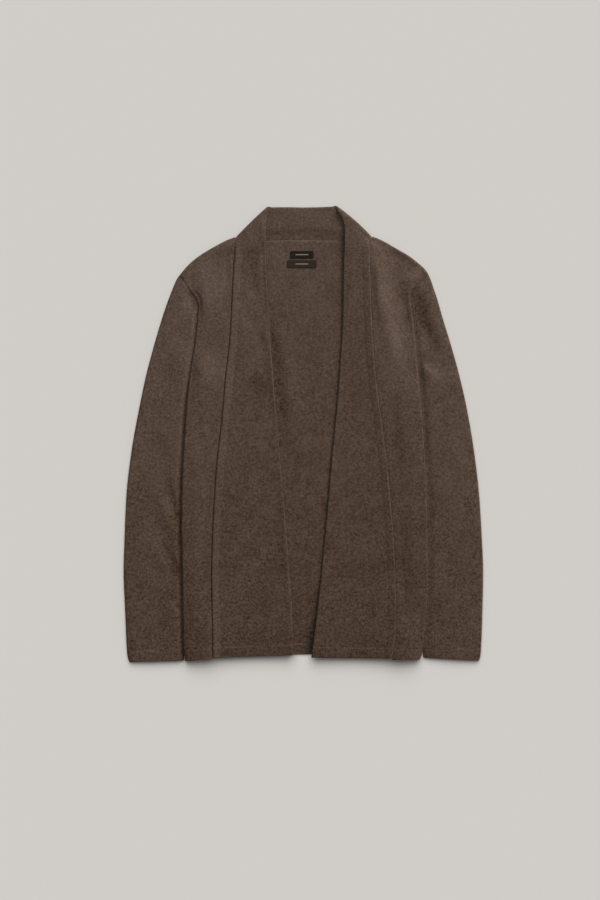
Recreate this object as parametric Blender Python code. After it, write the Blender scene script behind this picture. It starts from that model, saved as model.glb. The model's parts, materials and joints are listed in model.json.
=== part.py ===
"""Shawl collar cardigan in felted wool knit, laid flat on its back with its fronts open.

Each cut piece is a wall of cloth lofted through sections, and neighbouring pieces stop a seam's
width apart. Tables are in millimetres: x is measured outward from the middle line of the laid
garment, y up towards the collar and z up from the surface it lies on. The two halves lie a little
differently, so each has tables of its own. "left" is the wearer's left, on the side of +X.
"""

import math

import bpy

MM = 0.001

KNIT = 2.4  # thickness of the body knit
BAND = 4.2  # the collar band is knitted double
SEAM = 0.3  # clearance between pieces that are sewn together
ARMHOLE_SEAM = 0.4  # the same where a panel meets a sleeve
AIR = 0.5  # air between two layers that lie on each other
SLEEVE_EDGE = 6.8  # height of a sleeve over its outer fold
SLEEVE_TUCKED = 5.3  # height of a sleeve where the body lies on it
CREASE_RADIUS = 2.3  # middle of the band's wall where the collar folds over
STRIP_WIDTH = 13.0  # seam allowance pressed into the band beside its seam
STRIP_RISE = 1.0
HEM_WIDTH = 17.0
HEM_RISE = 0.5
LABEL_THICKNESS = 0.8
LIP = 0.8  # how far a rounded cut edge stands out past its last full section
LIP_SHARE = 0.45  # thickness left there
HEM_STEPS = (HEM_WIDTH - 2, 5, 0)  # heights over its hem of a piece's last sections

FRONT_FLOOR = KNIT + AIR + KNIT / 2  # middle of a front's wall where it lies on the back
BAND_FLOOR = KNIT + 0.4 + BAND / 2  # middle of the band's wall where it lies on the back
BAND_FOLDED = BAND / 2 + 2 * CREASE_RADIUS  # the same, just past the collar's crease

CURL_ANGLES = (0, 30, 60, 90)  # round the turned edge of a panel, from its side seam
SLOPE_COLUMNS = (0, 0.25, 0.5, 0.75, 1)  # across the slope from a raised side down to the back
BACK_COLUMNS = (0.25, 0.6, 1)  # from there to the back's middle line
BAND_COLUMNS = (0.3, 0.47, 0.64, 0.81)
SLEEVE_TOP = (0.07, 0.14, 0.206, 0.263, 0.316, 0.4, 0.5, 0.6, 0.7, 0.8, 0.9)
SLEEVE_UNDER = (0.88, 0.72, 0.55, 0.4, 0.27, 0.13)
COLLAR_COLUMNS = (0.0, 0.3, 0.6, 0.85)  # from the back's middle line to the collar's crease
CREASE_ANGLES = (-90, -60, -30, 0, 30, 60, 90)  # round the collar's crease
FOLD_ANGLES = (-90, -45, 0, 45, 90)  # round a sleeve's side folds
EDGE_ANGLES = (90, 45, 0, -45, -90)  # round the band's free edge


# Tables


def table(columns, *rows):
    """A table as one list for each named column."""
    return {name: [row[i] for row in rows] for i, name in enumerate(columns.split())}


SHOULDER = {
    "left": table(
        "x y",
        (119, 337),
        (132, 334.5),
        (157, 320.5),
        (181, 306.5),
        (198, 293),
        (211, 275.5),
    ),
    "right": table(
        "x y",
        (119, 337),
        (130, 334),
        (156, 320.5),
        (178, 306.5),
        (195, 292.5),
        (211, 274),
    ),
}

# The armhole seam, from the shoulder tip to the underarm.
ARMHOLE = {
    "left": table(
        "x y",
        (212, 274),
        (201.5, 263.5),
        (191, 253),
        (184.2, 244.5),
        (185.2, 231),
        (182.5, 215.5),
        (178, 188),
        (177, 153),
        (180, 102),
        (186, 50),
    ),
    "right": table(
        "x y",
        (211.5, 272),
        (203.5, 261),
        (192.5, 246.5),
        (183, 233.5),
        (180.3, 220.5),
        (177.8, 208.5),
        (174.5, 179),
        (173.5, 145),
        (176, 102),
        (184, 50),
    ),
}
ARMHOLE_SHOWN = 3  # the first sections of the armhole, before the front's edge covers its seam

# The side of the body, from the armhole to the hem. level is the middle of the front's wall over
# the turned edge, radius is that of the turn, flat and reach say how far in the edge stays level
# and where it is down on the back again.
SIDE = {
    "left": table(
        "y x level radius flat reach",
        (231, 183.9, 7.2, 1.6, 7, 50),
        (196, 188.5, 7.3, 1.6, 7, 46),
        (162, 192, 7.3, 1.6, 8, 44),
        (105, 197, 7.3, 1.6, 10, 44),
        (55, 202, 10, 1.6, 18, 52),
        (-10, 206.5, 10.2, 1.6, 20, 58),
        (-79, 211, 10.4, 1.7, 21, 56),
        (-165, 212.5, 10.6, 1.8, 21, 54),
        (-250, 213.7, 10.8, 1.9, 20, 50),
        (-302, 211, 10.8, 1.9, 15, 48),
        (-354, 206.5, 10.8, 1.9, 8, 45),
        (-379, 203, 10.6, 1.8, 5, 42),
        (-386, 200, 10.4, 1.7, 5, 40),
    ),
    "right": table(
        "y x level radius flat reach",
        (220.5, 179.8, 7.2, 1.6, 7, 50),
        (196, 182, 7.3, 1.6, 7, 46),
        (162, 185.5, 7.3, 1.6, 8, 44),
        (105, 194.5, 7.3, 1.6, 10, 44),
        (55, 200, 10, 1.6, 18, 52),
        (-10, 204.5, 10.2, 1.6, 19, 56),
        (-79, 208, 10.4, 1.7, 20, 54),
        (-165, 209.5, 10.6, 1.8, 19, 51),
        (-216, 208.3, 10.8, 1.9, 18, 48),
        (-285, 207, 10.8, 1.9, 14, 46),
        (-354, 206, 10.8, 1.9, 8, 45),
        (-389, 203.5, 10.6, 1.8, 5, 44),
    ),
}
UNDERARM_Y = 50
UNDERARM_STEPS = ((38, 0.5), (30, 0.9))  # y, and how far out to the side the back reaches there
BACK_ROWS = 10
BACK_HEM_Y = -387.5  # the back's hem at its sides, and how much higher it is in the middle
BACK_ARCH = 9.5
BACK_DOWN_Y = 86  # above this the back's armhole edge lies on the surface
YOKE_SLOPE = (5.6, 8, 60)  # level, flat and reach of a front along the shoulder seam
SHOULDER_RADIUS = 2.2
CUT_RADIUS = 1.6  # stands in for a turn's radius where an edge is cut flat

# The seam that joins the band to the front, and the band's free edge.
BAND_SEAM = {
    "left": table(
        "y x",
        (332, 114),
        (282, 115.5),
        (231, 117),
        (162, 120.5),
        (93, 126),
        (24, 135),
        (-45, 144),
        (-113, 150.5),
        (-182, 156),
        (-250, 159),
        (-320, 160),
        (-354, 157.5),
        (-390, 151),
    ),
    "right": table(
        "y x",
        (332, 116),
        (282, 119.5),
        (231, 122),
        (162, 125.5),
        (93, 132.5),
        (24, 138.5),
        (-45, 146.5),
        (-113, 152),
        (-182, 155.5),
        (-250, 157),
        (-320, 155.3),
        (-392, 154),
    ),
}
BAND_EDGE = {
    "left": table(
        "y x",
        (389, 58.5),
        (377, 64.5),
        (351, 70.5),
        (326, 70.5),
        (300, 69),
        (196, 67.5),
        (128, 63.5),
        (59, 58.5),
        (-45, 48.5),
        (-165, 38),
        (-285, 26),
        (-384, 13.5),
    ),
    "right": table(
        "y x",
        (389, 62),
        (351, 64.5),
        (317, 65),
        (282, 63.5),
        (196, 58.5),
        (93, 51.5),
        (-10, 43),
        (-113, 34),
        (-216, 25.5),
        (-300, 19.5),
        (-384, 17),
    ),
}
# Sections above the armhole: where each starts on the shoulder, meets the band's seam, and ends
# on the band's free edge.
YOKE = table(
    "shoulder_x seam_y edge_y",
    (119, 331, 372),
    (130, 326, 352),
    (146, 317.5, 331),
    (165, 306.5, 312),
    (184, 294, 296),
    (199, 280, 280),
    (210.4, 264, 264),
)
COLLAR_DOWN = (306, 327)  # the folded collar comes down between these to lie on the back
STRIP_STARTS = (332, 312)  # and the strip beside the band's seam begins between these
HANG_ROWS = 18  # sections down the side, from just below the armhole to the hem
ABOVE_HEM = 32  # the last of those is this far above the hem
NECK_SEAM = table(
    "x y", (0, 333.4), (35, 331.5), (65, 329), (85, 328), (104, 328.5), (118, 331), (130, 335.5)
)
COLLAR_TOP = {
    "left": table("x y", (0, 389.8), (25, 390.2), (56, 391.5)),
    "right": table("x y", (0, 389.8), (30, 390.2), (60, 390)),
}
BAND_HEM = {"left": -384, "right": -381.5}
BAND_HEM_SLANT = {"left": 1.6, "right": 3.5}  # how much higher the hem is at the free edge
CREASE = {  # neck end and free end of the fold, at its outermost
    "left": ((115.3, 336.2), (56, 392.5)),
    "right": ((117.6, 336.2), (61.5, 391)),
}

# Rows of the back above the armholes: y at the edge, and how far below the neck seam its middle is.
BACK_YOKE = table("x drop", (125, 0.2), (143, 10), (165, 21), (186, 33), (203, 46), (210.5, 61))

# The fold at a sleeve's outer side and the one at its inner side, which the body covers.
SLEEVE_OUTER = {
    "left": table(
        "y x",
        (274, 212),
        (265, 218.5),
        (251.5, 223.5),
        (231, 230.5),
        (205, 237.8),
        (153, 253.7),
        (102, 267.8),
        (50, 279.7),
        (-27, 293),
        (-104, 302),
        (-182, 306.8),
        (-234, 308.9),
        (-311, 307.5),
        (-363, 305.6),
        (-380, 304.3),
        (-391, 301),
    ),
    "right": table(
        "y x",
        (272, 211.5),
        (265, 217.5),
        (251.5, 224),
        (231, 232),
        (205, 241),
        (153, 256.5),
        (102, 270),
        (50, 281),
        (-27, 295),
        (-104, 304),
        (-182, 307.5),
        (-234, 308.9),
        (-311, 306),
        (-363, 303.8),
        (-380, 302.4),
        (-393, 299),
    ),
}
SLEEVE_INNER = {
    "left": table(
        "y x",
        (50, 186),
        (16, 189.5),
        (-27, 191),
        (-113, 194.5),
        (-216, 196.3),
        (-285, 198),
        (-354, 203),
        (-386, 206.8),
    ),
    "right": table(
        "y x",
        (50, 184),
        (16, 188.2),
        (-27, 190.8),
        (-113, 192.5),
        (-216, 194.2),
        (-285, 197.6),
        (-354, 202.8),
        (-390, 205.5),
    ),
}
# Where each ring of a sleeve meets the two folds, how much of the armhole's curve is left in it,
# and how far its upper layer stands over the plain slope between the folds.
SLEEVE_RUN = {
    "left": table(
        "outer_y inner_y bow loft",
        (274, 50, 1, 0),
        (231, 36, 0.8, 0.7),
        (179, 10, 0.46, 1.4),
        (102, -45, 0.12, 1.6),
        (0, -115, 0, 1.6),
        (-130, -205, 0, 1.5),
        (-262, -295, 0, 1.4),
        (-390.5, -385, 0, 0.6),
    ),
    "right": table(
        "outer_y inner_y bow loft",
        (272, 50, 1, 0),
        (231, 36, 0.8, 0.7),
        (179, 10, 0.46, 1.4),
        (102, -45, 0.12, 1.6),
        (0, -115, 0, 1.6),
        (-130, -205, 0, 1.5),
        (-262, -295, 0, 1.4),
        (-392, -389.5, 0, 0.6),
    ),
}
SLEEVE_RINGS = 19

# The largest creases and swells of the upper layers: the three points each runs through, its half
# width and its height.
FOLD_COLUMNS = "x y mid_x mid_y to_x to_y width height"
FOLDS = {
    "sleeve_left": table(
        FOLD_COLUMNS,
        (203, 256, 219, 196, 244, 86, 10, -1.5),
        (203, 119, 220, 102, 236, 86, 9, 1.5),
    ),
    "sleeve_right": table(
        FOLD_COLUMNS,
        (240, -70, 227, -113, 214, -156, 9, -1.7),
        (248, -186, 230, -216, 211, -242, 9, -1.8),
        (228, -280, 220, -291, 211, -299, 8, -0.9),
    ),
    "front_left": table(
        FOLD_COLUMNS,
        (124, 296, 138, 231, 153, 110, 12, 1.8),
        (160, -342, 170, -348, 181, -354, 9, 0.8),
    ),
    "front_right": table(
        FOLD_COLUMNS,
        (168, 300, 152, 200, 146, 90, 14, 1.4),
    ),
}

LABELS = {  # middle, width and height of each woven label inside the back neck
    "label_upper": ((-2.5, 308.5), 40, 13),
    "label_lower": ((-2.5, 292.5), 51, 13.5),
}
LABEL_CORNER = 1.5

COLOURS = {
    "back": (78, 63, 54),
    "front": (79, 65, 56),
    "band": (76, 62, 53),
    "sleeve": (81, 66, 57),
    "label": (40, 32, 23),
}
KNIT_ROUGHNESS = 0.95
LABEL_ROUGHNESS = 0.6
SHARP_ANGLE = 40
SIDES = {"left": 1, "right": -1}


# Curves and heights


def smooth(xs, ys, x):
    """A smooth curve through the points of a table, which never swings past them."""
    if xs[0] > xs[-1]:
        xs, ys = xs[::-1], ys[::-1]
    x = min(max(x, xs[0]), xs[-1])
    i = min(max(sum(1 for v in xs if v <= x) - 1, 0), len(xs) - 2)

    def slope(k):
        return (ys[k + 1] - ys[k]) / (xs[k + 1] - xs[k])

    def tangent(k):
        if k == 0:
            return slope(0)
        if k == len(xs) - 1:
            return slope(k - 1)
        before, after = slope(k - 1), slope(k)
        return 0.0 if before * after <= 0 else 2 * before * after / (before + after)

    step = xs[i + 1] - xs[i]
    t = (x - xs[i]) / step
    return (
        ys[i] * (1 + 2 * t) * (1 - t) ** 2
        + ys[i + 1] * t * t * (3 - 2 * t)
        + step * (tangent(i) * t * (1 - t) ** 2 - tangent(i + 1) * t * t * (1 - t))
    )


def look_up(columns, name, value, by="y"):
    return smooth(columns[by], columns[name], value)


def along(columns, name, share):
    """A column's value at a share of the way down its table."""
    steps = list(range(len(columns[name])))
    return smooth(steps, columns[name], share * steps[-1])


def ease(value, start, end):
    """0 before start, 1 after end, and a soft slope between."""
    t = min(max((value - start) / (end - start), 0.0), 1.0)
    return t * t * (3 - 2 * t)


def lerp(a, b, t):
    return a + (b - a) * t


def between(p, q, t):
    return (lerp(p[0], q[0], t), lerp(p[1], q[1], t))


def off_line(start, end, point):
    """How far a point is from the straight line between two ends."""
    run = (end[0] - start[0], end[1] - start[1])
    share = ((point[0] - start[0]) * run[0] + (point[1] - start[1]) * run[1]) / (run[0] ** 2 + run[1] ** 2)
    return math.dist(between(start, end, min(max(share, 0.0), 1.0)), point)


def fold_height(piece, x, y):
    """How far the creases and swells of a piece lift its cloth at a place."""
    height = 0.0
    for x0, y0, x1, y1, x2, y2, width, peak in zip(*FOLDS[piece].values()):
        off = min(off_line((x0, y0), (x1, y1), (x, y)), off_line((x1, y1), (x2, y2), (x, y)))
        height += peak * math.exp(-((off / width) ** 2))
    return height


def hem_rise(y, hem_y):
    return HEM_RISE * (1 - ease(y - hem_y, HEM_WIDTH - 1, HEM_WIDTH + 1))


# Solids


def wall(name, rings):
    """A panel from the rings round its sections: each joins the next, and strips close the ends."""
    count = len(rings[0])
    verts = [(x * MM, y * MM, z * MM) for ring in rings for x, y, z in ring]
    faces = []
    for r in range(len(rings) - 1):
        for i in range(count):
            j = (i + 1) % count
            faces.append((r * count + i, r * count + j, (r + 1) * count + j, (r + 1) * count + i))
    last = (len(rings) - 1) * count
    faces += strip_caps(count, last)
    return finished(name, verts, faces)


def strip_caps(count, last):
    """Closes the two ends of a panel with a strip from its upper to its lower points."""
    half = count // 2
    faces = []
    for i in range(half - 1):
        a, b, c, d = i, i + 1, count - 2 - i, count - 1 - i
        faces.append((a, d, c, b))
        faces.append((last + a, last + b, last + c, last + d))
    return faces


def tube(name, outer, inner):
    """A cloth tube, open at both ends, from rings of its outer and its inner face."""
    count = len(outer[0])
    inside = len(outer) * count
    verts = [(x * MM, y * MM, z * MM) for ring in outer + inner for x, y, z in ring]
    faces = []
    for r in range(len(outer) - 1):
        for i in range(count):
            j = (i + 1) % count
            quad = (r * count + i, r * count + j, (r + 1) * count + j, (r + 1) * count + i)
            faces.append(quad)
            faces.append(tuple(inside + v for v in reversed(quad)))
    last = (len(outer) - 1) * count
    for i in range(count):
        j = (i + 1) % count
        faces.append((i, inside + i, inside + j, j))
        faces.append((last + j, inside + last + j, inside + last + i, last + i))
    return finished(name, verts, faces)


def finished(name, verts, faces):
    """The piece in the scene, its faces turned outward, with a cloth of its own."""
    mesh = bpy.data.meshes.new(name)
    mesh.from_pydata(verts, [], faces)
    mesh.validate()
    piece = bpy.data.objects.new(name, mesh)
    bpy.context.collection.objects.link(piece)
    if volume(mesh) < 0:
        mesh.flip_normals()
    mesh.materials.append(cloth_material(name))
    mesh.shade_smooth()
    mesh.set_sharp_from_angle(angle=math.radians(SHARP_ANGLE))
    return piece


def volume(mesh):
    """Signed volume, which is negative where the faces point inward."""
    mesh.calc_loop_triangles()
    total = 0.0
    for triangle in mesh.loop_triangles:
        a, b, c = (mesh.vertices[v].co for v in triangle.vertices)
        total += a.dot(b.cross(c)) / 6
    return total


def lip(sections):
    """One more section just past a hem, half as thick, which rounds its cut edge."""
    before, hem = sections[-2:]
    half = len(hem) // 2
    middles = [(hem[i][2] + hem[-1 - i][2]) / 2 for i in range(half)]
    section = []
    for (x0, y0, _), (x, y, z), middle in zip(before, hem, middles + middles[::-1]):
        step = LIP / math.hypot(x - x0, y - y0)
        section.append((x + (x - x0) * step, y + (y - y0) * step, lerp(middle, z, LIP_SHARE)))
    return section


def linear(colour):
    return tuple(((c / 255 + 0.055) / 1.055) ** 2.4 for c in colour)


def cloth_material(piece):
    kind = piece.split("_")[0]
    material = bpy.data.materials.new(piece + "_cloth")
    material.use_nodes = True
    shader = material.node_tree.nodes["Principled BSDF"]
    shader.inputs["Base Color"].default_value = (*linear(COLOURS[kind]), 1)
    shader.inputs["Roughness"].default_value = LABEL_ROUGHNESS if kind == "label" else KNIT_ROUGHNESS
    shader.inputs["Metallic"].default_value = 0
    return material


# Body panels


def turned_edge(edge, inward, level, radius, curl, up):
    """Both faces of a panel round its edge, from the seam to where the panel runs level.

    The edge of a front (up = 1) turns down and that of the back (up = -1) turns up, so that the two
    meet halfway. curl is 1 on a full quarter turn and 0 on a flat cut edge. inward is the plan
    direction of the section, as long as the slant of the edge makes it.
    """
    outer_radius, inner_radius = radius + KNIT / 2, radius - KNIT / 2
    outer, inner = [], []
    for angle in CURL_ANGLES:
        turn, rise = math.cos(math.radians(angle)), math.sin(math.radians(angle))
        flat_in = outer_radius * (1 - turn)
        for face, r, flat_z in ((outer, outer_radius, KNIT / 2), (inner, inner_radius, -KNIT / 2)):
            inset = lerp(flat_in, outer_radius - r * turn, curl)
            z = level + up * lerp(flat_z, r * rise - radius, curl)
            face.append((edge[0] + inward[0] * inset, edge[1] + inward[1] * inset, z))
    return outer, inner


def inward_step(edge, tangent, target):
    """Plan direction from an edge point to target, lengthened by the slant of the edge to it."""
    run = (target[0] - edge[0], target[1] - edge[1])
    length = math.hypot(*run)
    run = (run[0] / length, run[1] / length)
    across = abs(run[0] * tangent[1] - run[1] * tangent[0]) / math.hypot(*tangent)
    slant = 1 / max(across, 0.4)
    return (run[0] * slant, run[1] * slant)


def slope_columns(start, flat, reach, width):
    """Distances in from a panel's edge of its sections' points, where its side slopes down."""
    room = width - start
    flat = min(max(flat, start + 3), start + 0.35 * room)
    reach = min(reach, width - min(4, 0.15 * room))
    return [(start + flat) / 2] + [lerp(flat, reach, share) for share in SLOPE_COLUMNS]


def shoulder_point(side, x):
    """A point of the shoulder seam and the seam's direction there."""
    shoulder = SHOULDER[side]
    y, above, below = (look_up(shoulder, "y", x + d, by="x") for d in (0, -2, 2))
    return (x, y), (4, below - above)


def armhole_point(side, share):
    """A point at a share of the armhole seam's length, from the shoulder tip."""
    xs, ys = ARMHOLE[side]["x"], ARMHOLE[side]["y"]
    runs = [0.0]
    for i in range(1, len(xs)):
        runs.append(runs[-1] + math.dist((xs[i], ys[i]), (xs[i - 1], ys[i - 1])))
    there = share * runs[-1]
    return smooth(runs, xs, there), smooth(runs, ys, there)


def armhole_edge(side, share):
    """The same point as the body's panels meet it, a seam's width clear of the sleeve."""
    x, y = armhole_point(side, share)
    before, after = armhole_point(side, share - 0.015), armhole_point(side, share + 0.015)
    run = (after[0] - before[0], after[1] - before[1])
    length = math.hypot(*run)
    return (x + run[1] / length * ARMHOLE_SEAM, y - run[0] / length * ARMHOLE_SEAM)


def section_share(side, share):
    """Share of the armhole seam at a column of the sleeve's first ring."""
    length = math.dist(armhole_point(side, 0), armhole_point(side, 1))
    return lerp(SLEEVE_EDGE / 2 / length, 1 - SLEEVE_TUCKED / 2 / length, share)


def armhole_rows(side):
    """Where the sections from the part of the armhole that shows meet the band's seam."""
    first, count = SIDE[side]["y"][0], ARMHOLE_SHOWN + 1
    return [lerp(YOKE["seam_y"][-1], first, i / count) for i in range(1, count)]


def hang_rows(side):
    """Heights of the sections from the armhole down to the start of the hem."""
    first, hem = SIDE[side]["y"][0], SIDE[side]["y"][-1]
    rows = [first, first - 9]
    return rows + [lerp(first - 22, hem + ABOVE_HEM, i / HANG_ROWS) for i in range(HANG_ROWS + 1)]


def front_stations(side):
    """Edge point, edge direction, seam point and edge shape of each section of a front."""
    hang = SIDE[side]
    stations = []
    for x, seam_y in zip(YOKE["shoulder_x"], YOKE["seam_y"]):
        edge, tangent = shoulder_point(side, x)
        level, flat, reach = YOKE_SLOPE
        stations.append((edge, tangent, seam_y, 1, level, SHOULDER_RADIUS, flat, reach))
    for i, seam_y in enumerate(armhole_rows(side)):
        edge = armhole_edge(side, section_share(side, SLEEVE_TOP[i]))
        down = (i + 1) / (ARMHOLE_SHOWN + 1)
        level, flat, reach = (
            lerp(yoke, hang[name][0], down) for yoke, name in zip(YOKE_SLOPE, ("level", "flat", "reach"))
        )
        stations.append((edge, (1, 1), seam_y, 0, level, CUT_RADIUS, flat, reach))
    hem = hang["y"][-1]
    for y in hang_rows(side) + [hem + step for step in HEM_STEPS]:
        shape = [look_up(hang, name, y) for name in ("level", "radius", "flat", "reach")]
        stations.append(((look_up(hang, "x", y), y), (0, 1), y, 1, *shape))
    return stations


def front(side):
    sign, seam, piece = SIDES[side], BAND_SEAM[side], "front_" + side
    hem = SIDE[side]["y"][-1]
    sections = []
    for edge, tangent, seam_y, curl, level, radius, flat, reach in front_stations(side):
        target = (look_up(seam, "x", seam_y) + SEAM / 2, seam_y)
        inward = inward_step(edge, tangent, target)
        level += SEAM
        upper, lower = turned_edge(edge, inward, level, radius, curl, 1)
        width = math.dist(edge, target)
        start = math.dist(edge, upper[-1][:2])
        floor = FRONT_FLOOR + band_height(seam_y) - BAND_FLOOR
        columns = slope_columns(start, flat, reach, width)
        for inset in columns + [width]:
            x, y = between(edge, target, inset / width)
            height = lerp(level, floor, ease(inset, columns[1], columns[-1]))
            height += fold_height(piece, x, y) * ease(inset, start, start + 6) * ease(width - inset, 0, 8)
            upper.append((x, y, height + KNIT / 2 + hem_rise(y, hem)))
            lower.append((x, y, height - KNIT / 2))
        ring = upper + lower[::-1]
        sections.append([(sign * x, y, z) for x, y, z in ring])
    sections.append(lip(sections))
    return wall(piece, sections)


def back_edge(side):
    """Edge point, edge direction, turn and height of each section of the back, on one side."""
    hang = SIDE[side]
    stations = [(*shoulder_point(side, x), 1, SHOULDER_RADIUS) for x in BACK_YOKE["x"]]
    for share in (*reversed(SLEEVE_UNDER), 1.0):
        stations.append((armhole_edge(side, section_share(side, share)), (0, 1), 0, CUT_RADIUS))
    for y, share in UNDERARM_STEPS:
        x = lerp(armhole_edge(side, 1)[0], look_up(hang, "x", y), share)
        stations.append(((x, y), (0, 1), 0, CUT_RADIUS))
    hem = hang["y"][-1]
    for y in [lerp(UNDERARM_Y - 30, hem + 26, i / BACK_ROWS) for i in range(BACK_ROWS + 1)] + [hem + 6, hem]:
        stations.append(((look_up(hang, "x", y), y), (0, 1), 1, look_up(hang, "radius", y)))
    return stations


def back_lift(side, x, y):
    """How far the back stands off the surface, where its side lies on the sleeve."""
    hang = SIDE[side]
    if y > BACK_DOWN_Y:
        return 0.0
    level = look_up(hang, "level", y) - 2 * look_up(hang, "radius", y) - KNIT / 2
    level *= 1 - ease(y, UNDERARM_Y, BACK_DOWN_Y)
    inset = look_up(hang, "x", y) - x
    return level * (1 - ease(inset, look_up(hang, "flat", y), look_up(hang, "reach", y)))


def back_half(side, left, right, drop):
    """Both faces of one half of a back section, from the side seam to the middle line."""
    edge, tangent, curl, radius = left if side == "left" else right
    other = right if side == "left" else left
    middle_y = (edge[1] + other[0][1]) / 2
    middle = (0, middle_y + BACK_ARCH * ease(-middle_y, 0, -BACK_HEM_Y))
    inward = inward_step(edge, tangent, middle)
    level = KNIT / 2 + back_lift(side, *edge)
    lower, upper = turned_edge(edge, inward, level, radius, curl, -1)
    start, width = math.dist(edge, lower[-1][:2]), math.dist(edge, middle)
    hang = SIDE[side]
    in_from_side = max(look_up(hang, "x", edge[1]) - edge[0], 0) if curl == 0 else 0
    flat, reach = (look_up(hang, name, edge[1]) - in_from_side for name in ("flat", "reach"))
    insets = slope_columns(start, flat, reach, width)
    for inset in insets + [lerp(insets[-1], width, share) for share in BACK_COLUMNS]:
        x, y = between(edge, middle, inset / width)
        height = back_lift(side, x, y)
        lower.append((x, y, height))
        upper.append((x, y, height + KNIT))
    sign = SIDES[side]

    def placed(points):
        """The points in place, none above the neck seam."""
        if drop is None:
            return [(sign * x, y, z) for x, y, z in points]
        return [(sign * x, min(y, look_up(NECK_SEAM, "y", x, by="x") - drop), z) for x, y, z in points]

    return placed(upper), placed(lower)


def back():
    drops = BACK_YOKE["drop"]
    sections = []
    for row, (left, right) in enumerate(zip(back_edge("left"), back_edge("right"))):
        drop = drops[row] if row < len(drops) else None
        upper_left, lower_left = back_half("left", left, right, drop)
        upper_right, lower_right = back_half("right", left, right, drop)
        upper = upper_right + upper_left[-2::-1]
        lower = lower_right + lower_left[-2::-1]
        sections.append(upper + lower[::-1])
    sections.append(lip(sections))
    return wall("back", sections)


# Collar band


def band_section(seam_point, edge_point, normal, strip):
    """One section of the doubled band, from its seam to its rounded free edge.

    The points are the middle of the wall, and normal points out of the side that shows.
    """
    run = [edge_point[i] - seam_point[i] for i in range(3)]
    width = math.sqrt(sum(r * r for r in run))
    unit = [r / width for r in run]
    half = BAND / 2

    def place(inset, off):
        return tuple(seam_point[i] + unit[i] * inset + normal[i] * off for i in range(3))

    insets = [0.0, STRIP_WIDTH - 2, STRIP_WIDTH + 1] + [width * share for share in BAND_COLUMNS]
    shown = [place(d, half + strip * STRIP_RISE * (d < STRIP_WIDTH)) for d in insets]
    hidden = [place(d, -half) for d in insets]
    for angle in EDGE_ANGLES[:3]:
        turn, rise = math.cos(math.radians(angle)), math.sin(math.radians(angle))
        shown.append(place(width - half + half * turn, half * rise))
    for angle in EDGE_ANGLES[:2:-1]:
        turn, rise = math.cos(math.radians(angle)), math.sin(math.radians(angle))
        hidden.append(place(width - half + half * turn, half * rise))
    hidden.insert(-2, place((insets[-1] + width - half) / 2, -half))
    return shown + hidden[::-1]


def band_height(y):
    """Middle of the band's wall on the front, which steps down from the folded collar."""
    return lerp(BAND_FLOOR, BAND_FOLDED, ease(y, *COLLAR_DOWN))


def collar_stations(side):
    """Seam point, edge point and normal of the sections behind the neck and round the crease."""
    neck, tip = CREASE[side]
    length = math.dist(neck, tip)
    out = ((tip[1] - neck[1]) / length, (neck[0] - tip[0]) / length)
    set_in = CREASE_RADIUS + BAND / 2
    start = [(p[0] - out[0] * set_in, p[1] - out[1] * set_in) for p in (neck, tip)]
    stations = []
    for share in COLLAR_COLUMNS:
        seam_x, top_x = (lerp(SEAM / 2, p[0], share) for p in start)
        seam_y = look_up(NECK_SEAM, "y", seam_x, by="x") + SEAM
        top_y = look_up(COLLAR_TOP[side], "y", top_x, by="x")
        stations.append(((seam_x, seam_y, BAND / 2), (top_x, top_y, BAND / 2), (0, 0, -1)))
    for angle in CREASE_ANGLES:
        turn, rise = math.cos(math.radians(angle)), math.sin(math.radians(angle))
        z = BAND / 2 + CREASE_RADIUS * (1 + rise)
        off = (out[0] * CREASE_RADIUS * turn, out[1] * CREASE_RADIUS * turn)
        ends = [(p[0] + off[0], p[1] + off[1], z) for p in start]
        stations.append((*ends, (out[0] * turn, out[1] * turn, rise)))
    return stations


def lapel_stations(side):
    """The same for the sections on the front, from the collar's crease to the hem."""
    seam, edge = BAND_SEAM[side], BAND_EDGE[side]
    hem, slant = BAND_HEM[side], BAND_HEM_SLANT[side]
    runs = list(zip(YOKE["seam_y"], YOKE["edge_y"]))
    runs += [(y, y) for y in armhole_rows(side) + hang_rows(side)]
    runs += [(hem + step, hem + slant + step) for step in HEM_STEPS]
    stations = []
    for seam_y, edge_y in runs:
        seam_end = (look_up(seam, "x", seam_y) - SEAM / 2, seam_y, band_height(seam_y))
        edge_end = (look_up(edge, "x", edge_y), edge_y, band_height(edge_y))
        stations.append((seam_end, edge_end, (0, 0, 1)))
    return stations


def band(side):
    sections = []
    for seam_end, edge_end, normal in collar_stations(side):
        sections.append(band_section(seam_end, edge_end, normal, 0))
    for seam_end, edge_end, normal in lapel_stations(side):
        strip = 1 - ease(seam_end[1], *reversed(STRIP_STARTS))
        sections.append(band_section(seam_end, edge_end, normal, strip))
    sections = [[(SIDES[side] * x, y, z) for x, y, z in section] for section in sections]
    sections.append(lip(sections))
    return wall("band_" + side, sections)


# Sleeves


def sleeve_height(side, share, loft, x, y):
    """Top of a sleeve's upper layer, lower where the body's side lies on it or beside it."""
    full = lerp(SLEEVE_EDGE, SLEEVE_TUCKED + 0.1, share) + loft * math.sin(math.pi * share)
    hang = SIDE[side]
    shown_above = hang["y"][0] + 1
    clear = x - look_up(hang, "x", y)
    reach = lerp(12, 30, ease(shown_above - y, 0, 100))
    free = max(ease(clear, 4, reach), ease(y, shown_above, shown_above + 11))
    full += fold_height("sleeve_" + side, x, y) * ease(share, 0.02, 0.2)
    return lerp(SLEEVE_TUCKED, max(full, SLEEVE_TUCKED), free)


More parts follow.
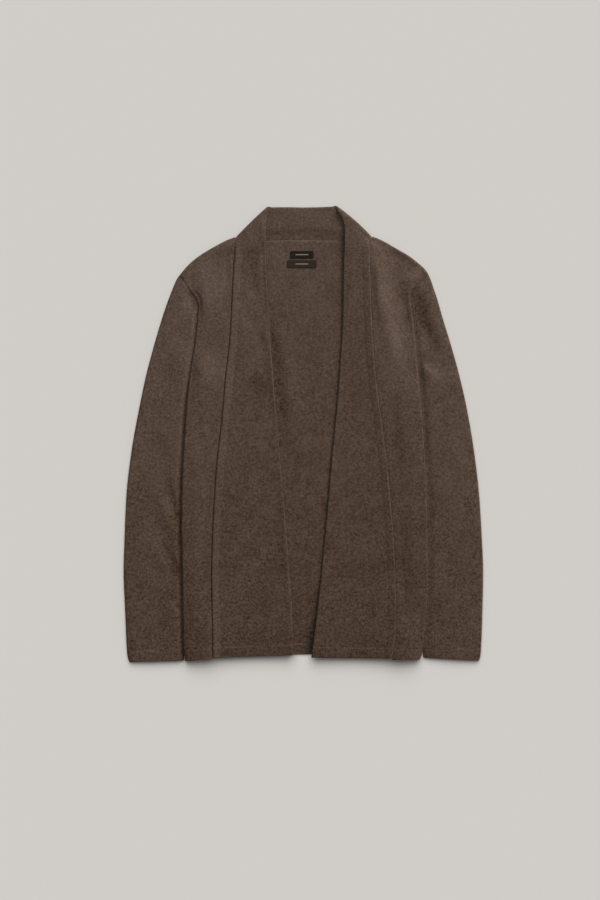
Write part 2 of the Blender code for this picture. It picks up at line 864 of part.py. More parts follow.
def sleeve_ring(side, run):
    """The outer and the inner face of a sleeve's wall round one section."""
    outer_y, inner_y, bow, loft = run
    ends = (
        (look_up(SLEEVE_OUTER[side], "x", outer_y), outer_y),
        (look_up(SLEEVE_INNER[side], "x", inner_y), inner_y),
    )
    seam_ends = armhole_point(side, 0), armhole_point(side, 1)
    length = math.hypot(ends[1][0] - ends[0][0], ends[1][1] - ends[0][1])

    def plan(share):
        line, chord = between(*ends, share), between(*seam_ends, share)
        seam = armhole_point(side, share)
        return tuple(line[i] + bow * (seam[i] - chord[i]) for i in range(2))

    def top(share):
        return sleeve_height(side, share, loft, *plan(share))

    faces = []
    for inside in (0, KNIT):
        ring = []
        near, far = SLEEVE_EDGE / 2, SLEEVE_TUCKED / 2
        for angle in FOLD_ANGLES:
            turn, rise = math.cos(math.radians(angle)), math.sin(math.radians(angle))
            share = (near - (near - inside) * turn) / length
            ring.append((*plan(share), near + (near - inside) * rise))
        for share in SLEEVE_TOP:
            share = lerp(near / length, 1 - far / length, share)
            ring.append((*plan(share), top(share) - inside))
        for angle in reversed(FOLD_ANGLES):
            turn, rise = math.cos(math.radians(angle)), math.sin(math.radians(angle))
            share = 1 - (far - (far - inside) * turn) / length
            ring.append((*plan(share), far + (far - inside) * rise))
        for share in SLEEVE_UNDER:
            share = lerp(near / length, 1 - far / length, share)
            ring.append((*plan(share), inside))
        faces.append([(SIDES[side] * x, y, z) for x, y, z in ring])
    return faces


def sleeve(side):
    run = SLEEVE_RUN[side]
    shares = [i / SLEEVE_RINGS for i in range(SLEEVE_RINGS)] + [1.0]
    outer, inner = [], []
    for share in shares:
        face = sleeve_ring(side, [along(run, name, share) for name in run])
        outer.append(face[0])
        inner.append(face[1])
    return tube("sleeve_" + side, outer, inner)


# Labels


def label(name):
    """A woven label: a thin block with cut corners, on the back's inside face."""
    (x, y), width, height = LABELS[name]
    half_w, half_h = width / 2, height / 2
    outline = []
    for sx, sy in ((1, 1), (-1, 1), (-1, -1), (1, -1)):
        side_end = (x + sx * half_w, y + sy * (half_h - LABEL_CORNER))
        top_end = (x + sx * (half_w - LABEL_CORNER), y + sy * half_h)
        outline += [side_end, top_end] if sx * sy > 0 else [top_end, side_end]
    faces_z = (KNIT + SEAM, KNIT + SEAM + LABEL_THICKNESS)
    verts = [(px * MM, py * MM, z * MM) for z in faces_z for px, py in outline]
    count = len(outline)
    faces = [tuple(range(count))[::-1], tuple(range(count, 2 * count))]
    faces += [(i, (i + 1) % count, count + (i + 1) % count, count + i) for i in range(count)]
    return finished(name, verts, faces)


for old in list(bpy.data.objects):
    bpy.data.objects.remove(old, do_unlink=True)

back()
for which in SIDES:
    front(which)
    band(which)
    sleeve(which)
for which in LABELS:
    label(which)
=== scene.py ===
# %% [markdown]
# # An open-front wool cardigan, laid flat
#
# This lesson dresses the solid model of a knitted cardigan that lies on its back. The solids give
# the size and the place of every cut piece. Here each piece is made again as a finer skin of cloth
# with its creases, hems and seams, and then gets a felted wool finish.
#
# Cloth could also be dropped on the table by a simulation. A garment that somebody has laid out
# with care is at rest already, and its outline is known. So every skin here is worked out from
# sizes and short tables, which puts each fold where it is wanted and takes only a few seconds.

# %% Load the solid model and list its pieces
import json
import math

import bpy
import numpy as np
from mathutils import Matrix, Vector

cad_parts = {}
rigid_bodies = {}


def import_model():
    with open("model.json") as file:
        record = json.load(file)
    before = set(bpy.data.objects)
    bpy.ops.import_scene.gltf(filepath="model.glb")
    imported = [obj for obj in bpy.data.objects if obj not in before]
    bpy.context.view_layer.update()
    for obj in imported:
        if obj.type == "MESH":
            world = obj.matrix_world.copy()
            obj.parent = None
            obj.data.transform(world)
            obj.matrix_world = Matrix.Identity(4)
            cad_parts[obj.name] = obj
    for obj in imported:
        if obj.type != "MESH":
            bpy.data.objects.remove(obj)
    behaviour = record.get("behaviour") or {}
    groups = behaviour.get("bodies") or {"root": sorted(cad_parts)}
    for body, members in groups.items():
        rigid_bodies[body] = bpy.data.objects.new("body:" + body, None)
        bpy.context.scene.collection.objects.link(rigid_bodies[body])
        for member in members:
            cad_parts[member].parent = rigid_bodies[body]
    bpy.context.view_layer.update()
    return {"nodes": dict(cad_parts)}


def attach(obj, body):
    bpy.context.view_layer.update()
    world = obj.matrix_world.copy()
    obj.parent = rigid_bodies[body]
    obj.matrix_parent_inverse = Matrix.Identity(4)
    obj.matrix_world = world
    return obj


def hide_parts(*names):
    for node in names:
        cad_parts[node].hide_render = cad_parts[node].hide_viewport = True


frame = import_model()
print("solid pieces:", ", ".join(sorted(frame["nodes"])))

# %% [markdown]
# Cloth is easiest to think about in millimetres, so every size below is one, and only the last
# step of making a mesh turns it into metres. x is measured outward from the middle line of the
# garment, so that one set of functions can make both halves. y runs up to the collar and z is the
# height over the floor.

# %% Sizes of the cloth
MM = 0.001
KNIT = 2.4  # thickness of the body's knit
BAND = 4.2  # the collar band is knitted double
AIR = 0.5  # between two layers that lie on each other
SEAM = 0.3  # clearance between a front and the band that is sewn to it
SIDES = {"left": 1, "right": -1}  # the way in which x runs from the middle line
print("knit:", KNIT, "mm thick, double knit:", BAND, "mm")


# %% [markdown]
# A garment's outline is a few smooth lines. Each could be a curve drawn in the viewport, but a
# short table of places along it is easier to read and to change, and is what a pattern cutter
# would note. Between the noted places the outline has to run smoothly and never swing past a noted
# point. A curve whose slope comes from its two neighbours does that.

# %% Tables and smooth curves
def table(columns, *rows):
    """A table as one array for each named column."""
    names = columns.split()
    return {name: np.array([row[i] for row in rows], float) for i, name in enumerate(names)}


def smooth(xs, ys, x):
    """A smooth curve through the points of a table, which never swings past them."""
    if xs[0] > xs[-1]:
        xs, ys = xs[::-1], ys[::-1]
    x = np.clip(x, xs[0], xs[-1])
    step = np.diff(xs)
    slope = np.diff(ys) / step
    before, after = slope[:-1], slope[1:]
    total = np.where(before * after > 0, before + after, 1)
    inner = np.where(before * after > 0, 2 * before * after / total, 0)
    tangent = np.concatenate([slope[:1], inner, slope[-1:]])
    i = np.clip(np.searchsorted(xs, x, side="right") - 1, 0, len(xs) - 2)
    t = (x - xs[i]) / step[i]
    bend = step[i] * (tangent[i] * t * (1 - t) ** 2 - tangent[i + 1] * t * t * (1 - t))
    return ys[i] * (1 + 2 * t) * (1 - t) ** 2 + ys[i + 1] * t * t * (3 - 2 * t) + bend


def look_up(columns, name, value, by="y"):
    return smooth(columns[by], columns[name], value)


def along(columns, name, row):
    """A column's value at a row number, which may fall between two rows."""
    return smooth(np.arange(len(columns[name])), columns[name], row)


halfway = look_up(table("x y", (0, 0), (1, 10), (2, 10)), "y", 0.5, by="x")
print("halfway along the rise to a level stretch:", round(float(halfway), 2), "of 10")


# %% [markdown]
# A few small helpers serve all the pieces. `ease` is used the most: a soft step from 0 to 1, for
# wherever cloth settles from one height to another. A straight ramp would be simpler, but it
# leaves a hard line at either end, and knitted wool never folds that sharply by itself.

# %% Small helpers
def ease(value, start, end):
    """0 before start, 1 after end, and a soft slope between."""
    t = np.clip((value - start) / (end - start), 0, 1)
    return t * t * (3 - 2 * t)


def lerp(a, b, t):
    return a + (b - a) * t


def spaced(start, end, step):
    """Values from start to end, about a step apart."""
    return np.linspace(start, end, round(abs(end - start) / step) + 1)


def lengths(points):
    """How far along a line each of its points is."""
    return np.concatenate([[0], np.cumsum(np.linalg.norm(np.diff(points, axis=0), axis=1))])


print("a soft step:", [round(float(ease(value, 0, 4)), 2) for value in range(5)])

# %% [markdown]
# Three pieces meet at the armhole: the front, the back and the sleeve. Each could carry its own
# copy of that edge, but then a small change would open a gap. On the real garment it is one seam,
# so it is one line here. It is walked by its own length, and every piece asks for the point at the
# same share of it. The two halves have tables of their own, because nobody lays a cardigan down
# quite straight.

# %% Shoulder and armhole seams
SHOULDER = {  # from the neck to the shoulder tip
    "left": table(
        "x y",
        (114, 341.6), (119, 339.6), (132, 334.4), (157, 320.5), (181, 306.5), (198, 293.4),
        (205, 287.4), (211.6, 280), (215.2, 274.5),
    ),
    "right": table(
        "x y",
        (116, 339.6), (119, 338.2), (130, 334), (156, 320.5), (178, 307), (195, 293.4),
        (203.5, 284.4), (212.6, 273.4),
    ),
}

ARMHOLE = {  # from the shoulder tip to the underarm
    "left": table(
        "x y",
        (214.8, 274.6), (203, 263.5), (191, 253), (184.2, 244.5), (185.2, 231), (182.5, 215.5),
        (178, 188), (177, 153), (180, 102), (186, 50),
    ),
    "right": table(
        "x y",
        (213, 273.2), (203.8, 261), (192.5, 246.5), (183, 233.5), (180.3, 220.5), (177.8, 208.5),
        (174.5, 179), (173.5, 145), (176, 102), (184, 50),
    ),
}
ARMHOLE_SEAM = 0.2  # clearance of the body's panels from the seam's middle
SLEEVE_EDGE = 6.8  # height of a sleeve over its outer fold
SLEEVE_TUCKED = 5.3  # and where the body lies on it


def armhole_point(side, share):
    """Points at shares of the armhole seam's length, from the shoulder tip."""
    line = np.stack([ARMHOLE[side]["x"], ARMHOLE[side]["y"]], -1)
    runs = lengths(line)
    return np.stack([smooth(runs, line[:, k], share * runs[-1]) for k in range(2)], -1)


def armhole_edge(side, share):
    """The same points as the body's panels meet them, a seam's width clear of the sleeve."""
    run = armhole_point(side, share + 0.015) - armhole_point(side, share - 0.015)
    run /= np.linalg.norm(run, axis=-1, keepdims=True)
    return armhole_point(side, share) + ARMHOLE_SEAM * np.stack([run[..., 1], -run[..., 0]], -1)


def section_share(side, share):
    """Share of the armhole seam at a column of the sleeve's first ring."""
    length = np.linalg.norm(armhole_point(side, np.array(1.0)) - armhole_point(side, np.array(0.0)))
    return lerp(SLEEVE_EDGE / 2 / length, 1 - SLEEVE_TUCKED / 2 / length, share)


for half in SIDES:
    line = armhole_point(half, np.linspace(0, 1, 50))
    print(half, "armhole seam:", round(lengths(line)[-1]), "mm")

# %% [markdown]
# Below the armhole the front and the back are sewn together at the side seam. The body lies a
# little wider than the sleeves leave room for, so its sides are pushed up and rest on them. This
# line could be a plain outline, but the height matters as much, since it is what throws the dark
# line beside the sleeve. So the table notes both.

# %% Sides of the body
# level is the middle of the front's wall over the turned edge, and radius is that of the turn.
# flat and reach say how far in the edge stays level, and where it is down on the back again.
SIDE = {
    "left": table(
        "y x level radius flat reach",
        (231, 183.9, 7.2, 1.6, 7, 50), (196, 188.5, 7.3, 1.6, 7, 46), (162, 192, 7.3, 1.6, 8, 44),
        (105, 197, 7.3, 1.6, 10, 44), (55, 202, 10, 1.6, 18, 52), (-10, 206.5, 10.2, 1.6, 20, 58),
        (-79, 211, 10.4, 1.7, 21, 56), (-165, 212.5, 10.6, 1.8, 21, 54),
        (-250, 213.7, 10.8, 1.9, 20, 50), (-302, 211, 10.8, 1.9, 15, 48),
        (-354, 206.5, 10.8, 1.9, 8, 45), (-379, 203, 10.6, 1.8, 5, 42),
        (-386, 200, 10.4, 1.7, 5, 40),
    ),
    "right": table(
        "y x level radius flat reach",
        (220.5, 179.8, 7.2, 1.6, 7, 50), (196, 182, 7.3, 1.6, 7, 46),
        (162, 185.5, 7.3, 1.6, 8, 44), (105, 194.5, 7.3, 1.6, 10, 44), (55, 200, 10, 1.6, 18, 52),
        (-10, 204.5, 10.2, 1.6, 19, 56), (-79, 208, 10.4, 1.7, 20, 54),
        (-165, 209.5, 10.6, 1.8, 19, 51), (-216, 208.3, 10.8, 1.9, 18, 48),
        (-285, 207, 10.8, 1.9, 14, 46), (-354, 206, 10.8, 1.9, 8, 45),
        (-389, 203.5, 10.6, 1.8, 5, 44),
    ),
}
chest = sum(look_up(SIDE[half], "x", 100) for half in SIDES)
print("width across the chest:", round(float(chest)), "mm")

# %% [markdown]
# The collar band is sewn to the edges of the fronts and to the back neck. Both panels and the band
# need that seam, so it comes before any of them. Above the armhole the rows of points can't simply
# run level, since the shoulder slopes. They fan out instead, and the yoke's table says where each
# one meets the shoulder, the seam and the band's free edge.

# %% Seam of the collar band
BAND_SEAM = {
    "left": table(
        "y x",
        (332, 114), (282, 115.5), (231, 117), (162, 120.5), (93, 126), (24, 135), (-45, 144),
        (-113, 150.5), (-182, 156), (-250, 159), (-320, 160), (-354, 157.5), (-390, 151),
    ),
    "right": table(
        "y x",
        (332, 117), (282, 120.8), (231, 123.4), (162, 127.4), (93, 135), (24, 141), (-45, 149),
        (-113, 153.8), (-182, 157.2), (-250, 158.6), (-320, 157), (-392, 155.8),
    ),
}
NECK_SEAM = table(
    "x y", (0, 334), (35, 333.8), (65, 333), (85, 331), (104, 329.8), (118, 331), (130, 335.5)
)
YOKE = table(
    "shoulder_x seam_y edge_y",
    (119, 331, 372), (130, 326, 352), (146, 317.5, 331), (165, 306.5, 312), (184, 294, 296),
    (199, 280, 280), (210.4, 264, 264),
)
YOKE_ROWS = spaced(0, 6, 0.2)  # rows of that table, and places between them
COLLAR_DOWN = (306, 327)  # the folded collar comes down between these to lie on the back
CREASE_RADIUS = 2.8  # middle of the band's wall where the collar folds over
BAND_FLOOR = KNIT + 0.4 + BAND / 2  # middle of the band's wall where it lies on the back
BAND_FOLDED = BAND / 2 + 2 * CREASE_RADIUS  # the same, just past the collar's crease


def band_height(y):
    """Middle of the band's wall on the front, which steps down from the folded collar."""
    return lerp(BAND_FLOOR, BAND_FOLDED, ease(y, *COLLAR_DOWN))


print("band seam at the waist:", round(float(look_up(BAND_SEAM["left"], "x", 0)), 1), "mm out")

# %% [markdown]
# Creases are what make cloth look like cloth. They could be sculpted with a brush, but a stroke in
# a table can be read, moved and made again. Each crease follows a bent line through three places
# and has a half width and a height, which is negative for a trough. Real creases are seldom even:
# `lean` makes one flank steeper than the other, and `grow` and `fade` say over what share of its
# length a crease builds up and dies away again.
#
# Strokes of the same kind also paint light and shade into the cloth's colour. A positive height
# paints it lighter, as a painted highlight, and a negative one paints it darker, as painted shade.

# %% Creases and painted light and shade
CREASES, PAINTED_LIGHT_STROKES = {}, {}  # a table for each piece
BEND = np.linspace(0, 1, 15)  # places along a crease
TINY = 0.001  # lets a crease build up or end all at once


def strokes(*rows):
    """A table of creases or of strokes of painted light and shade, a row for each."""
    return table("x y mid_x mid_y to_x to_y width height lean grow fade", *rows)


def along_crease(corners):
    """Places along the bent line through a crease's three places."""
    return np.stack(
        [
            (1 - BEND) ** 2 * a + 2 * BEND * (1 - BEND) * (2 * b - (a + c) / 2) + BEND**2 * c
            for a, b, c in (corners[0::2], corners[1::2])
        ],
        -1,
    )


def crease_height(rows, x, y):
    """How far the creases in a table lift the cloth at each place."""
    height = np.zeros_like(x)
    for *corners, width, peak, lean, grow, fade in zip(*rows.values()):
        line = along_crease(corners)
        runs = lengths(line)
        nearest = np.full(x.shape, np.inf)
        side, share = np.zeros_like(x), np.zeros_like(x)
        for i, ((from_x, from_y), (run_x, run_y)) in enumerate(zip(line, np.diff(line, axis=0))):
            t = ((x - from_x) * run_x + (y - from_y) * run_y) / (run_x**2 + run_y**2)
            t = np.clip(t, 0, 1)
            off_x, off_y = x - from_x - t * run_x, y - from_y - t * run_y
            off = np.hypot(off_x, off_y)
            nearer = off < nearest
            nearest = np.where(nearer, off, nearest)
            side = np.where(nearer, np.sign(run_x * off_y - run_y * off_x), side)
            share = np.where(nearer, lerp(runs[i], runs[i + 1], t) / runs[-1], share)
        strength = ease(share, -TINY, grow) * (1 - ease(share, 1 - fade, 1 + TINY))
        height += peak * strength * np.exp(-((nearest / (width * (1 + lean * side))) ** 2))
    return height


ridge = strokes((0, 0, 50, 0, 100, 0, 10, 4, 0, 0.3, 0.3))
print("a crease 4 mm high:", crease_height(ridge, np.array([5.0, 20, 50]), np.zeros(3)).round(1))


# %% [markdown]
# Between its creases a knit is never quite level either. Noise from a texture would do, but it
# would live in the material alone. Adding a few long waves in chance directions bends the cloth
# itself, so its shading and its shadows follow. The chance comes from a fixed seed, which gives
# the same cloth each time.

# %% Unevenness
WAVES = 9
WAVE_SPREAD = (0.75, 1.6)  # shortest and longest wave, as shares of the size asked for
WAVE_SUM = 4  # the waves seldom add up to more than this


def unevenness(x, y, size, seed):
    """Gentle swells from about -1 to 1, each roughly size millimetres long."""
    chance = np.random.default_rng(seed)
    height = np.zeros_like(x)
    for _ in range(WAVES):
        angle, phase = chance.uniform(0, 2 * math.pi, 2)
        wave = 2 * math.pi / (size * chance.uniform(*WAVE_SPREAD))
        height += np.sin(wave * (x * math.cos(angle) + y * math.sin(angle)) + phase)
    return height / WAVE_SUM


sample = unevenness(np.arange(0.0, 200), np.zeros(200), 50, 1)
print("swells run from", round(sample.min(), 1), "to", round(sample.max(), 1))


# %% [markdown]
# Every piece is a closed skin: an upper face, a lower face and the edges that join them. A plane
# with a Solidify modifier would be quicker, but its two faces would always have the same shape.
# Here a panel is a stack of rings, each of which runs along the upper face and back along the
# lower one, so a hem can be thicker than the cloth above it.

# %% Turning rings of points into a skin
SHARP_ANGLE = math.radians(70)  # edges that bend more than this stay crisp


def ring_faces(rows, count, closed):
    """Four-sided faces between rings of count points. closed joins the last ring to the first."""
    r, i = np.meshgrid(np.arange(rows if closed else rows - 1), np.arange(count), indexing="ij")
    j, s = (i + 1) % count, (r + 1) % rows
    return np.stack([r * count + i, r * count + j, s * count + j, s * count + i], -1).reshape(-1, 4)


def end_faces(count, last):
    """Strips that close the first and the last ring of a panel."""
    i = np.arange(count // 2 - 1)
    a, b, c, d = i, i + 1, count - 2 - i, count - 1 - i
    return np.concatenate([np.stack([a, d, c, b], -1), last + np.stack([a, b, c, d], -1)])


def enclosed_volume(mesh):
    """Cubic metres inside a closed mesh, negative where its faces point inward."""
    points = np.empty(len(mesh.vertices) * 3)
    mesh.vertices.foreach_get("co", points)
    mesh.calc_loop_triangles()
    corners = np.empty(len(mesh.loop_triangles) * 3, int)
    mesh.loop_triangles.foreach_get("vertices", corners)
    a, b, c = np.moveaxis(points.reshape(-1, 3)[corners].reshape(-1, 3, 3), 1, 0)
    return float(np.einsum("ij,ij->", a, np.cross(b, c)) / 6)


def piece_of_cloth(name, points, faces, threads):
    """A closed mesh. threads are its points' places in the knit, which the finishes follow."""
    mesh = bpy.data.meshes.new(name)
    mesh.from_pydata((points * MM).tolist(), [], faces.tolist())
    layer = mesh.uv_layers.new(name="knit")
    layer.data.foreach_set("uv", (threads[faces.reshape(-1)] * MM).ravel())
    piece = bpy.data.objects.new(name, mesh)
    bpy.context.collection.objects.link(piece)
    if enclosed_volume(mesh) < 0:
        mesh.flip_normals()
    mesh.shade_smooth()
    mesh.set_sharp_from_angle(angle=SHARP_ANGLE)
    return piece


def skin(name, rings, threads, painted_light, closed=False):
    """A piece of cloth from its rings. painted_light is painted light and shade per point."""
    rows, count = rings.shape[:2]
    faces = ring_faces(rows, count, closed)
    if not closed:
        faces = np.concatenate([faces, end_faces(count, (rows - 1) * count)])
    piece = piece_of_cloth(name, rings.reshape(-1, 3), faces, threads.reshape(-1, 2))
    # Painted light and shade, stored at each point for the finish to make the colour lighter or
    # darker.
    piece.data.attributes.new("painted_light", "FLOAT", "POINT").data.foreach_set("value", painted_light.ravel())
    return piece


def mirrored(rings, side):
    rings = rings.copy()
    rings[..., 0] *= SIDES[side]
    return rings


def report(pieces):
    """Print how large each piece has become."""
    for piece in pieces:
        size = ", ".join(f"{side * 1000:.0f}" for side in piece.dimensions)
        print(f"{piece.name}: {len(piece.data.polygons)} faces, {size} mm")


print("faces between 3 rings of 8 points:", len(ring_faces(3, 8, closed=False)))

# %% [markdown]
# A hem is a strip of the panel turned up inside and caught with a line of stitches. It makes the
# edge thicker and stiffer, so it stands off the table a little. A bevel would only round the
# corner. Here the rows come closer together near the hem, so there are points enough for the step
# of the turned strip, and a few thinner rings past the last one close it with a soft round edge.

# %% Hems
ROW = 4.0  # between two rows of points
HEM_FINE = 22.0  # this close to the hem they are closer together
HEM_ROWS = np.array([18.6, 17.9, 17.2, 16.5, 15.7, 13, 10, 7, 4.5, 2.5, 1.2, 0.4, 0])
STITCH_ROW = 4 - len(HEM_ROWS)  # the row along the stitches, counted back from the last
HEM_WIDTH = 17.0
HEM_STEP = 0.75  # how far the turned strip lifts the cloth over it
HEM_SOFT = 0.9  # half the width of that step
ROUNDING = ((0.35, 0.95), (0.65, 0.8), (0.85, 0.55), (0.95, 0.25))  # out, and thickness left
SLANT_START = 110.0  # a slanting hem pulls the rows below this height over it aslant
FLARE_LENGTH = 150.0
FLARE = {  # how far the hem of the front and its band stands off the table
    "left": table(
        "x flare", (13, 9), (30, 8.5), (85, 7), (151, 10), (165, 11.5), (185, 6.5), (201, 0.5)
    ),
    "right": table(
        "x flare", (17, 10), (40, 8), (85, 6.5), (150, 8), (165, 10.5), (185, 6), (202, 0.5)
    ),
}
hem_lines = {}  # where the stitches go on each piece


def hang_rows(first, hem):
    """Heights of the rows of a panel from the first down to the hem."""
    return np.concatenate([spaced(first, hem + HEM_FINE, ROW), hem + HEM_ROWS])


def hem_rise(from_hem):
    """How far the turned-up hem allowance lifts the cloth over it."""
    return HEM_STEP * (1 - ease(from_hem, HEM_WIDTH - HEM_SOFT, HEM_WIDTH + HEM_SOFT))


def hem_flare(side, x, from_hem):
    """How far the cloth stands off the table, from nothing to its most at the hem."""
    return look_up(FLARE[side], "flare", x, by="x") * (1 - ease(from_hem, 0, FLARE_LENGTH))


def slant_share(from_hem):
    """How much of its hem's slant a row has, from none to all of it."""
    return 1 - ease(from_hem, HEM_FINE, SLANT_START)


def rounded_end(rings):
    """The same rings and a few more past the last, each thinner, which round the cut edge."""
    half = rings.shape[1] // 2
    run = rings[-1, :, :2] - rings[-2, :, :2]
    run /= np.linalg.norm(run, axis=1, keepdims=True)
    upper, lower = rings[-1, :half, 2], rings[-1, half:, 2][::-1]
    middle = np.concatenate([(upper + lower) / 2, ((upper + lower) / 2)[::-1]])
    more = []
    for out, thick in ROUNDING:
        ring = rings[-1].copy()
        ring[:, :2] += run * out
        ring[:, 2] = lerp(middle, ring[:, 2], thick)
        more.append(ring)
    return np.concatenate([rings, more])


print("rows for 100 mm of cloth:", len(hang_rows(100, 0)))

# %% [markdown]
# A body panel is not cut off at its side seam: the front turns down there and the back turns up,
# and the two meet halfway. Seen from above the side of the body is a soft round edge. A Bevel
# modifier could round a corner, but not one that changes along its length. So this cell works out
# both faces of the turn. A curl of 0 gives a plain cut edge instead, as along the armhole, and
# values between blend the two.

# %% The turned edge of a panel
TURN = np.radians(np.linspace(0, 90, 7))


def turned_edge(edge, inward, level, radius, curl, up):
    """Both faces of a panel round its edge, from the seam to where the panel runs level."""
    outer_radius, inner_radius = radius + KNIT / 2, radius - KNIT / 2
    faces = []
    for r, flat_z in ((outer_radius, KNIT / 2), (inner_radius, -KNIT / 2)):
        columns = []
        for angle in TURN:
            flat_in = outer_radius * (1 - math.cos(angle))
            inset = lerp(flat_in, outer_radius - r * math.cos(angle), curl)
            z = level + up * lerp(flat_z, r * math.sin(angle) - radius, curl)
            columns.append(np.concatenate([edge + inward * inset[:, None], z[:, None]], axis=1))
        faces.append(np.stack(columns, 1))
    return faces


LEAST_SLANT = 0.4  # keeps rows that meet an edge at a sharp angle from growing too long
SLOPE_START = 3.0  # a raised side stays level at least this far past its turn
SLOPE_MARGIN = 4.0  # and is down again at least this far from the panel's other side
SLOPE_SHARES = 0.35, 0.15  # on a narrow panel, shares of the room there is, for the same two


def inward_step(edge, target):
    """Plan directions from edge points to targets, lengthened by the slant of the edge to them."""
    run = (target - edge) / np.linalg.norm(target - edge, axis=1, keepdims=True)
    tangent = np.gradient(edge, axis=0)
    across = np.abs(run[:, 0] * tangent[:, 1] - run[:, 1] * tangent[:, 0])
    across /= np.linalg.norm(tangent, axis=1)
    return run / np.maximum(across, LEAST_SLANT)[:, None]


def slope_ends(start, flat, reach, width):
    """How far in a panel's raised side stays level and where it is down again."""
    most, least = (share * (width - start) for share in SLOPE_SHARES)
    flat = np.minimum(np.maximum(flat, start + SLOPE_START), start + most)
    return flat, np.minimum(reach, width - np.minimum(SLOPE_MARGIN, least))


print("angles round a turn:", np.degrees(TURN).round().astype(int))

# %% [markdown]
# The fronts come first, since they show most. Each is a narrow panel between the side seam and the
# band. A grid stretched to its outline would crowd its points at the shoulder. Rows that fan out
# from the shoulder seam, pass the part of the armhole that shows and then run level down to the
# hem keep them even, and each row is then a plain slice of cloth.

# %% Rows of a front
TOP_SHARES = table("step share", (0, 0), (1, 0.07), (2, 0.14), (3, 0.206), (4, 0.263))
HOLE_STEPS = np.concatenate([[0.04, 0.16, 0.32], spaced(0.5, 4, 0.35)[:-1]])
HOLE_LAST = 4  # the last of those steps, where the rows reach the underarm
HOLE_JOIN = (0, 0.9)  # steps over which the armhole's edge leaves the shoulder tip
CURL_OPENS, CURL_CLOSES = (0, 1), (3, HOLE_LAST)  # steps over which the turned edge does so
TIP_REACH = {"left": 3.2, "right": 1.6}  # how far the shoulder seam is drawn out at its tip
TIP_ROWS = (4.6, 6)
NECK_REACH = {"left": 0.0, "right": 1.6}  # and drawn in at the neck
NECK_ROWS = (0, 1.4)
HEM_SLANT = {"left": 0.0, "right": 4.6}  # how much higher a front's hem is at the band's seam
YOKE_SLOPE = (5.6, 8, 60)  # level, flat and reach of a front along the shoulder seam
SHOULDER_RADIUS = 2.2


def front_rows(side):
    """Edge points, seam heights, curl and edge shape of the rows of a front."""
    hang = SIDE[side]
    x = along(YOKE, "shoulder_x", YOKE_ROWS)
    x -= NECK_REACH[side] * (1 - ease(YOKE_ROWS, *NECK_ROWS))
    x += TIP_REACH[side] * ease(YOKE_ROWS, *TIP_ROWS)
    yoke = np.stack([x, look_up(SHOULDER[side], "y", x, by="x")], -1)
    share = section_share(side, look_up(TOP_SHARES, "share", HOLE_STEPS, by="step"))
    share -= section_share(side, 0) * (1 - ease(HOLE_STEPS, *HOLE_JOIN))
    y = hang_rows(hang["y"][0], hang["y"][-1])
    side_line = np.stack([look_up(hang, "x", y), y], -1)
    edge = np.concatenate([yoke, armhole_edge(side, share), side_line])
    hole_y = lerp(YOKE["seam_y"][-1], y[0], HOLE_STEPS / HOLE_LAST)
    hung_y = y + HEM_SLANT[side] * slant_share(y - y[-1])
    seam_y = np.concatenate([along(YOKE, "seam_y", YOKE_ROWS), hole_y, hung_y])
    hole_curl = 1 - ease(HOLE_STEPS, *CURL_OPENS) + ease(HOLE_STEPS, *CURL_CLOSES)
    curl = np.concatenate([np.ones(len(yoke)), hole_curl, np.ones(len(y))])
    shape = []
    yoke_shape = (YOKE_SLOPE[0], SHOULDER_RADIUS, *YOKE_SLOPE[1:])
    for name, first in zip(("level", "radius", "flat", "reach"), yoke_shape):
        between = lerp(first, hang[name][0], ease(HOLE_STEPS, 0, HOLE_LAST))
        shape.append(np.concatenate([np.full(len(yoke), first), between, look_up(hang, name, y)]))
    return edge, seam_y, curl, shape


print("rows of a front:", len(front_rows("left")[0]))

# %% [markdown]
# The largest creases of the fronts hang from the shoulder: a soft ridge runs down from the collar
# and hollows lie beside it. On the left front one more shows in the corner of the hem. They are
# listed here one by one, because where a fold lies is what makes a garment look like this one and
# no other.

# %% Creases of the fronts
CREASES["front_left"] = strokes(
    (117, 307, 136, 221, 170, 83, 15.5, 4.6, 0.1, 0.15, 0.35),
    (165, 265, 174, 222, 184, 153, 9.5, -2.4, 0, 0.35, 0.5),
    (143, 310, 164, 300, 181, 286, 11.2, -1.2, 0, 0.3, 0.3),
    (167, 255, 184, 267, 203, 270, 10.3, 2.6, 0, 0.5, 0.3),
    (160, 93, 170, 24, 174, -62, 13.8, 1.4, 0.3, 0.4, 0.5),
    (158, -356, 170, -349, 184, -337, 6.2, 2.4, 0, 0.3, 0.4),
    (160, -62, 165, -182, 164, -302, 12, -1, 0, 0.4, 0.4),
)
CREASES["front_right"] = strokes(
    (175, 296, 170, 234, 165, 162, 18.1, 4.2, -0.3, 0.35, 0.5),
    (184, 153, 175, 110, 168, 42, 17.2, 3.6, -0.2, 0.4, 0.5),
    (132, 313, 129, 274, 129, 231, 7.7, -1.2, 0, 0.3, 0.5),
    (194, 7, 184, -62, 186, -148, 12, 1.2, 0, 0.4, 0.5),
)
# Painted light and shade on both fronts. Positive strokes paint the colour lighter, negative ones
# darker.
PAINTED_LIGHT_STROKES["front_left"] = strokes(
    (122, 307, 139, 231, 172, 83, 15.5, 0.19, 0, 0.3, 0.2),
    (150, 200, 165, 138, 181, 66, 17.2, 0.18, 0, 0.4, 0.2),
    (129, 79, 143, -27, 164, -285, 7.7, -0.1, 0, 0.2, 0.2),
    (167, 262, 174, 224, 182, 169, 7.7, -0.2, 0, 0.3, 0.4),
    (115, 334, 157, 317, 195, 289, 12, -0.15, 0, 0.2, 0.3),
    (170, 255, 186, 269, 205, 272, 8.6, 0.18, 0, 0.4, 0.2),
)
PAINTED_LIGHT_STROKES["front_right"] = strokes(
    (153, 313, 160, 258, 151, 200, 24.1, 0.15, 0, 0.3, 0.4),
    (155, 155, 153, 114, 149, 66, 16.3, 0.16, 0, 0.3, 0.4),
)
print("creases of the fronts:", sum(len(CREASES["front_" + half]["x"]) for half in SIDES))

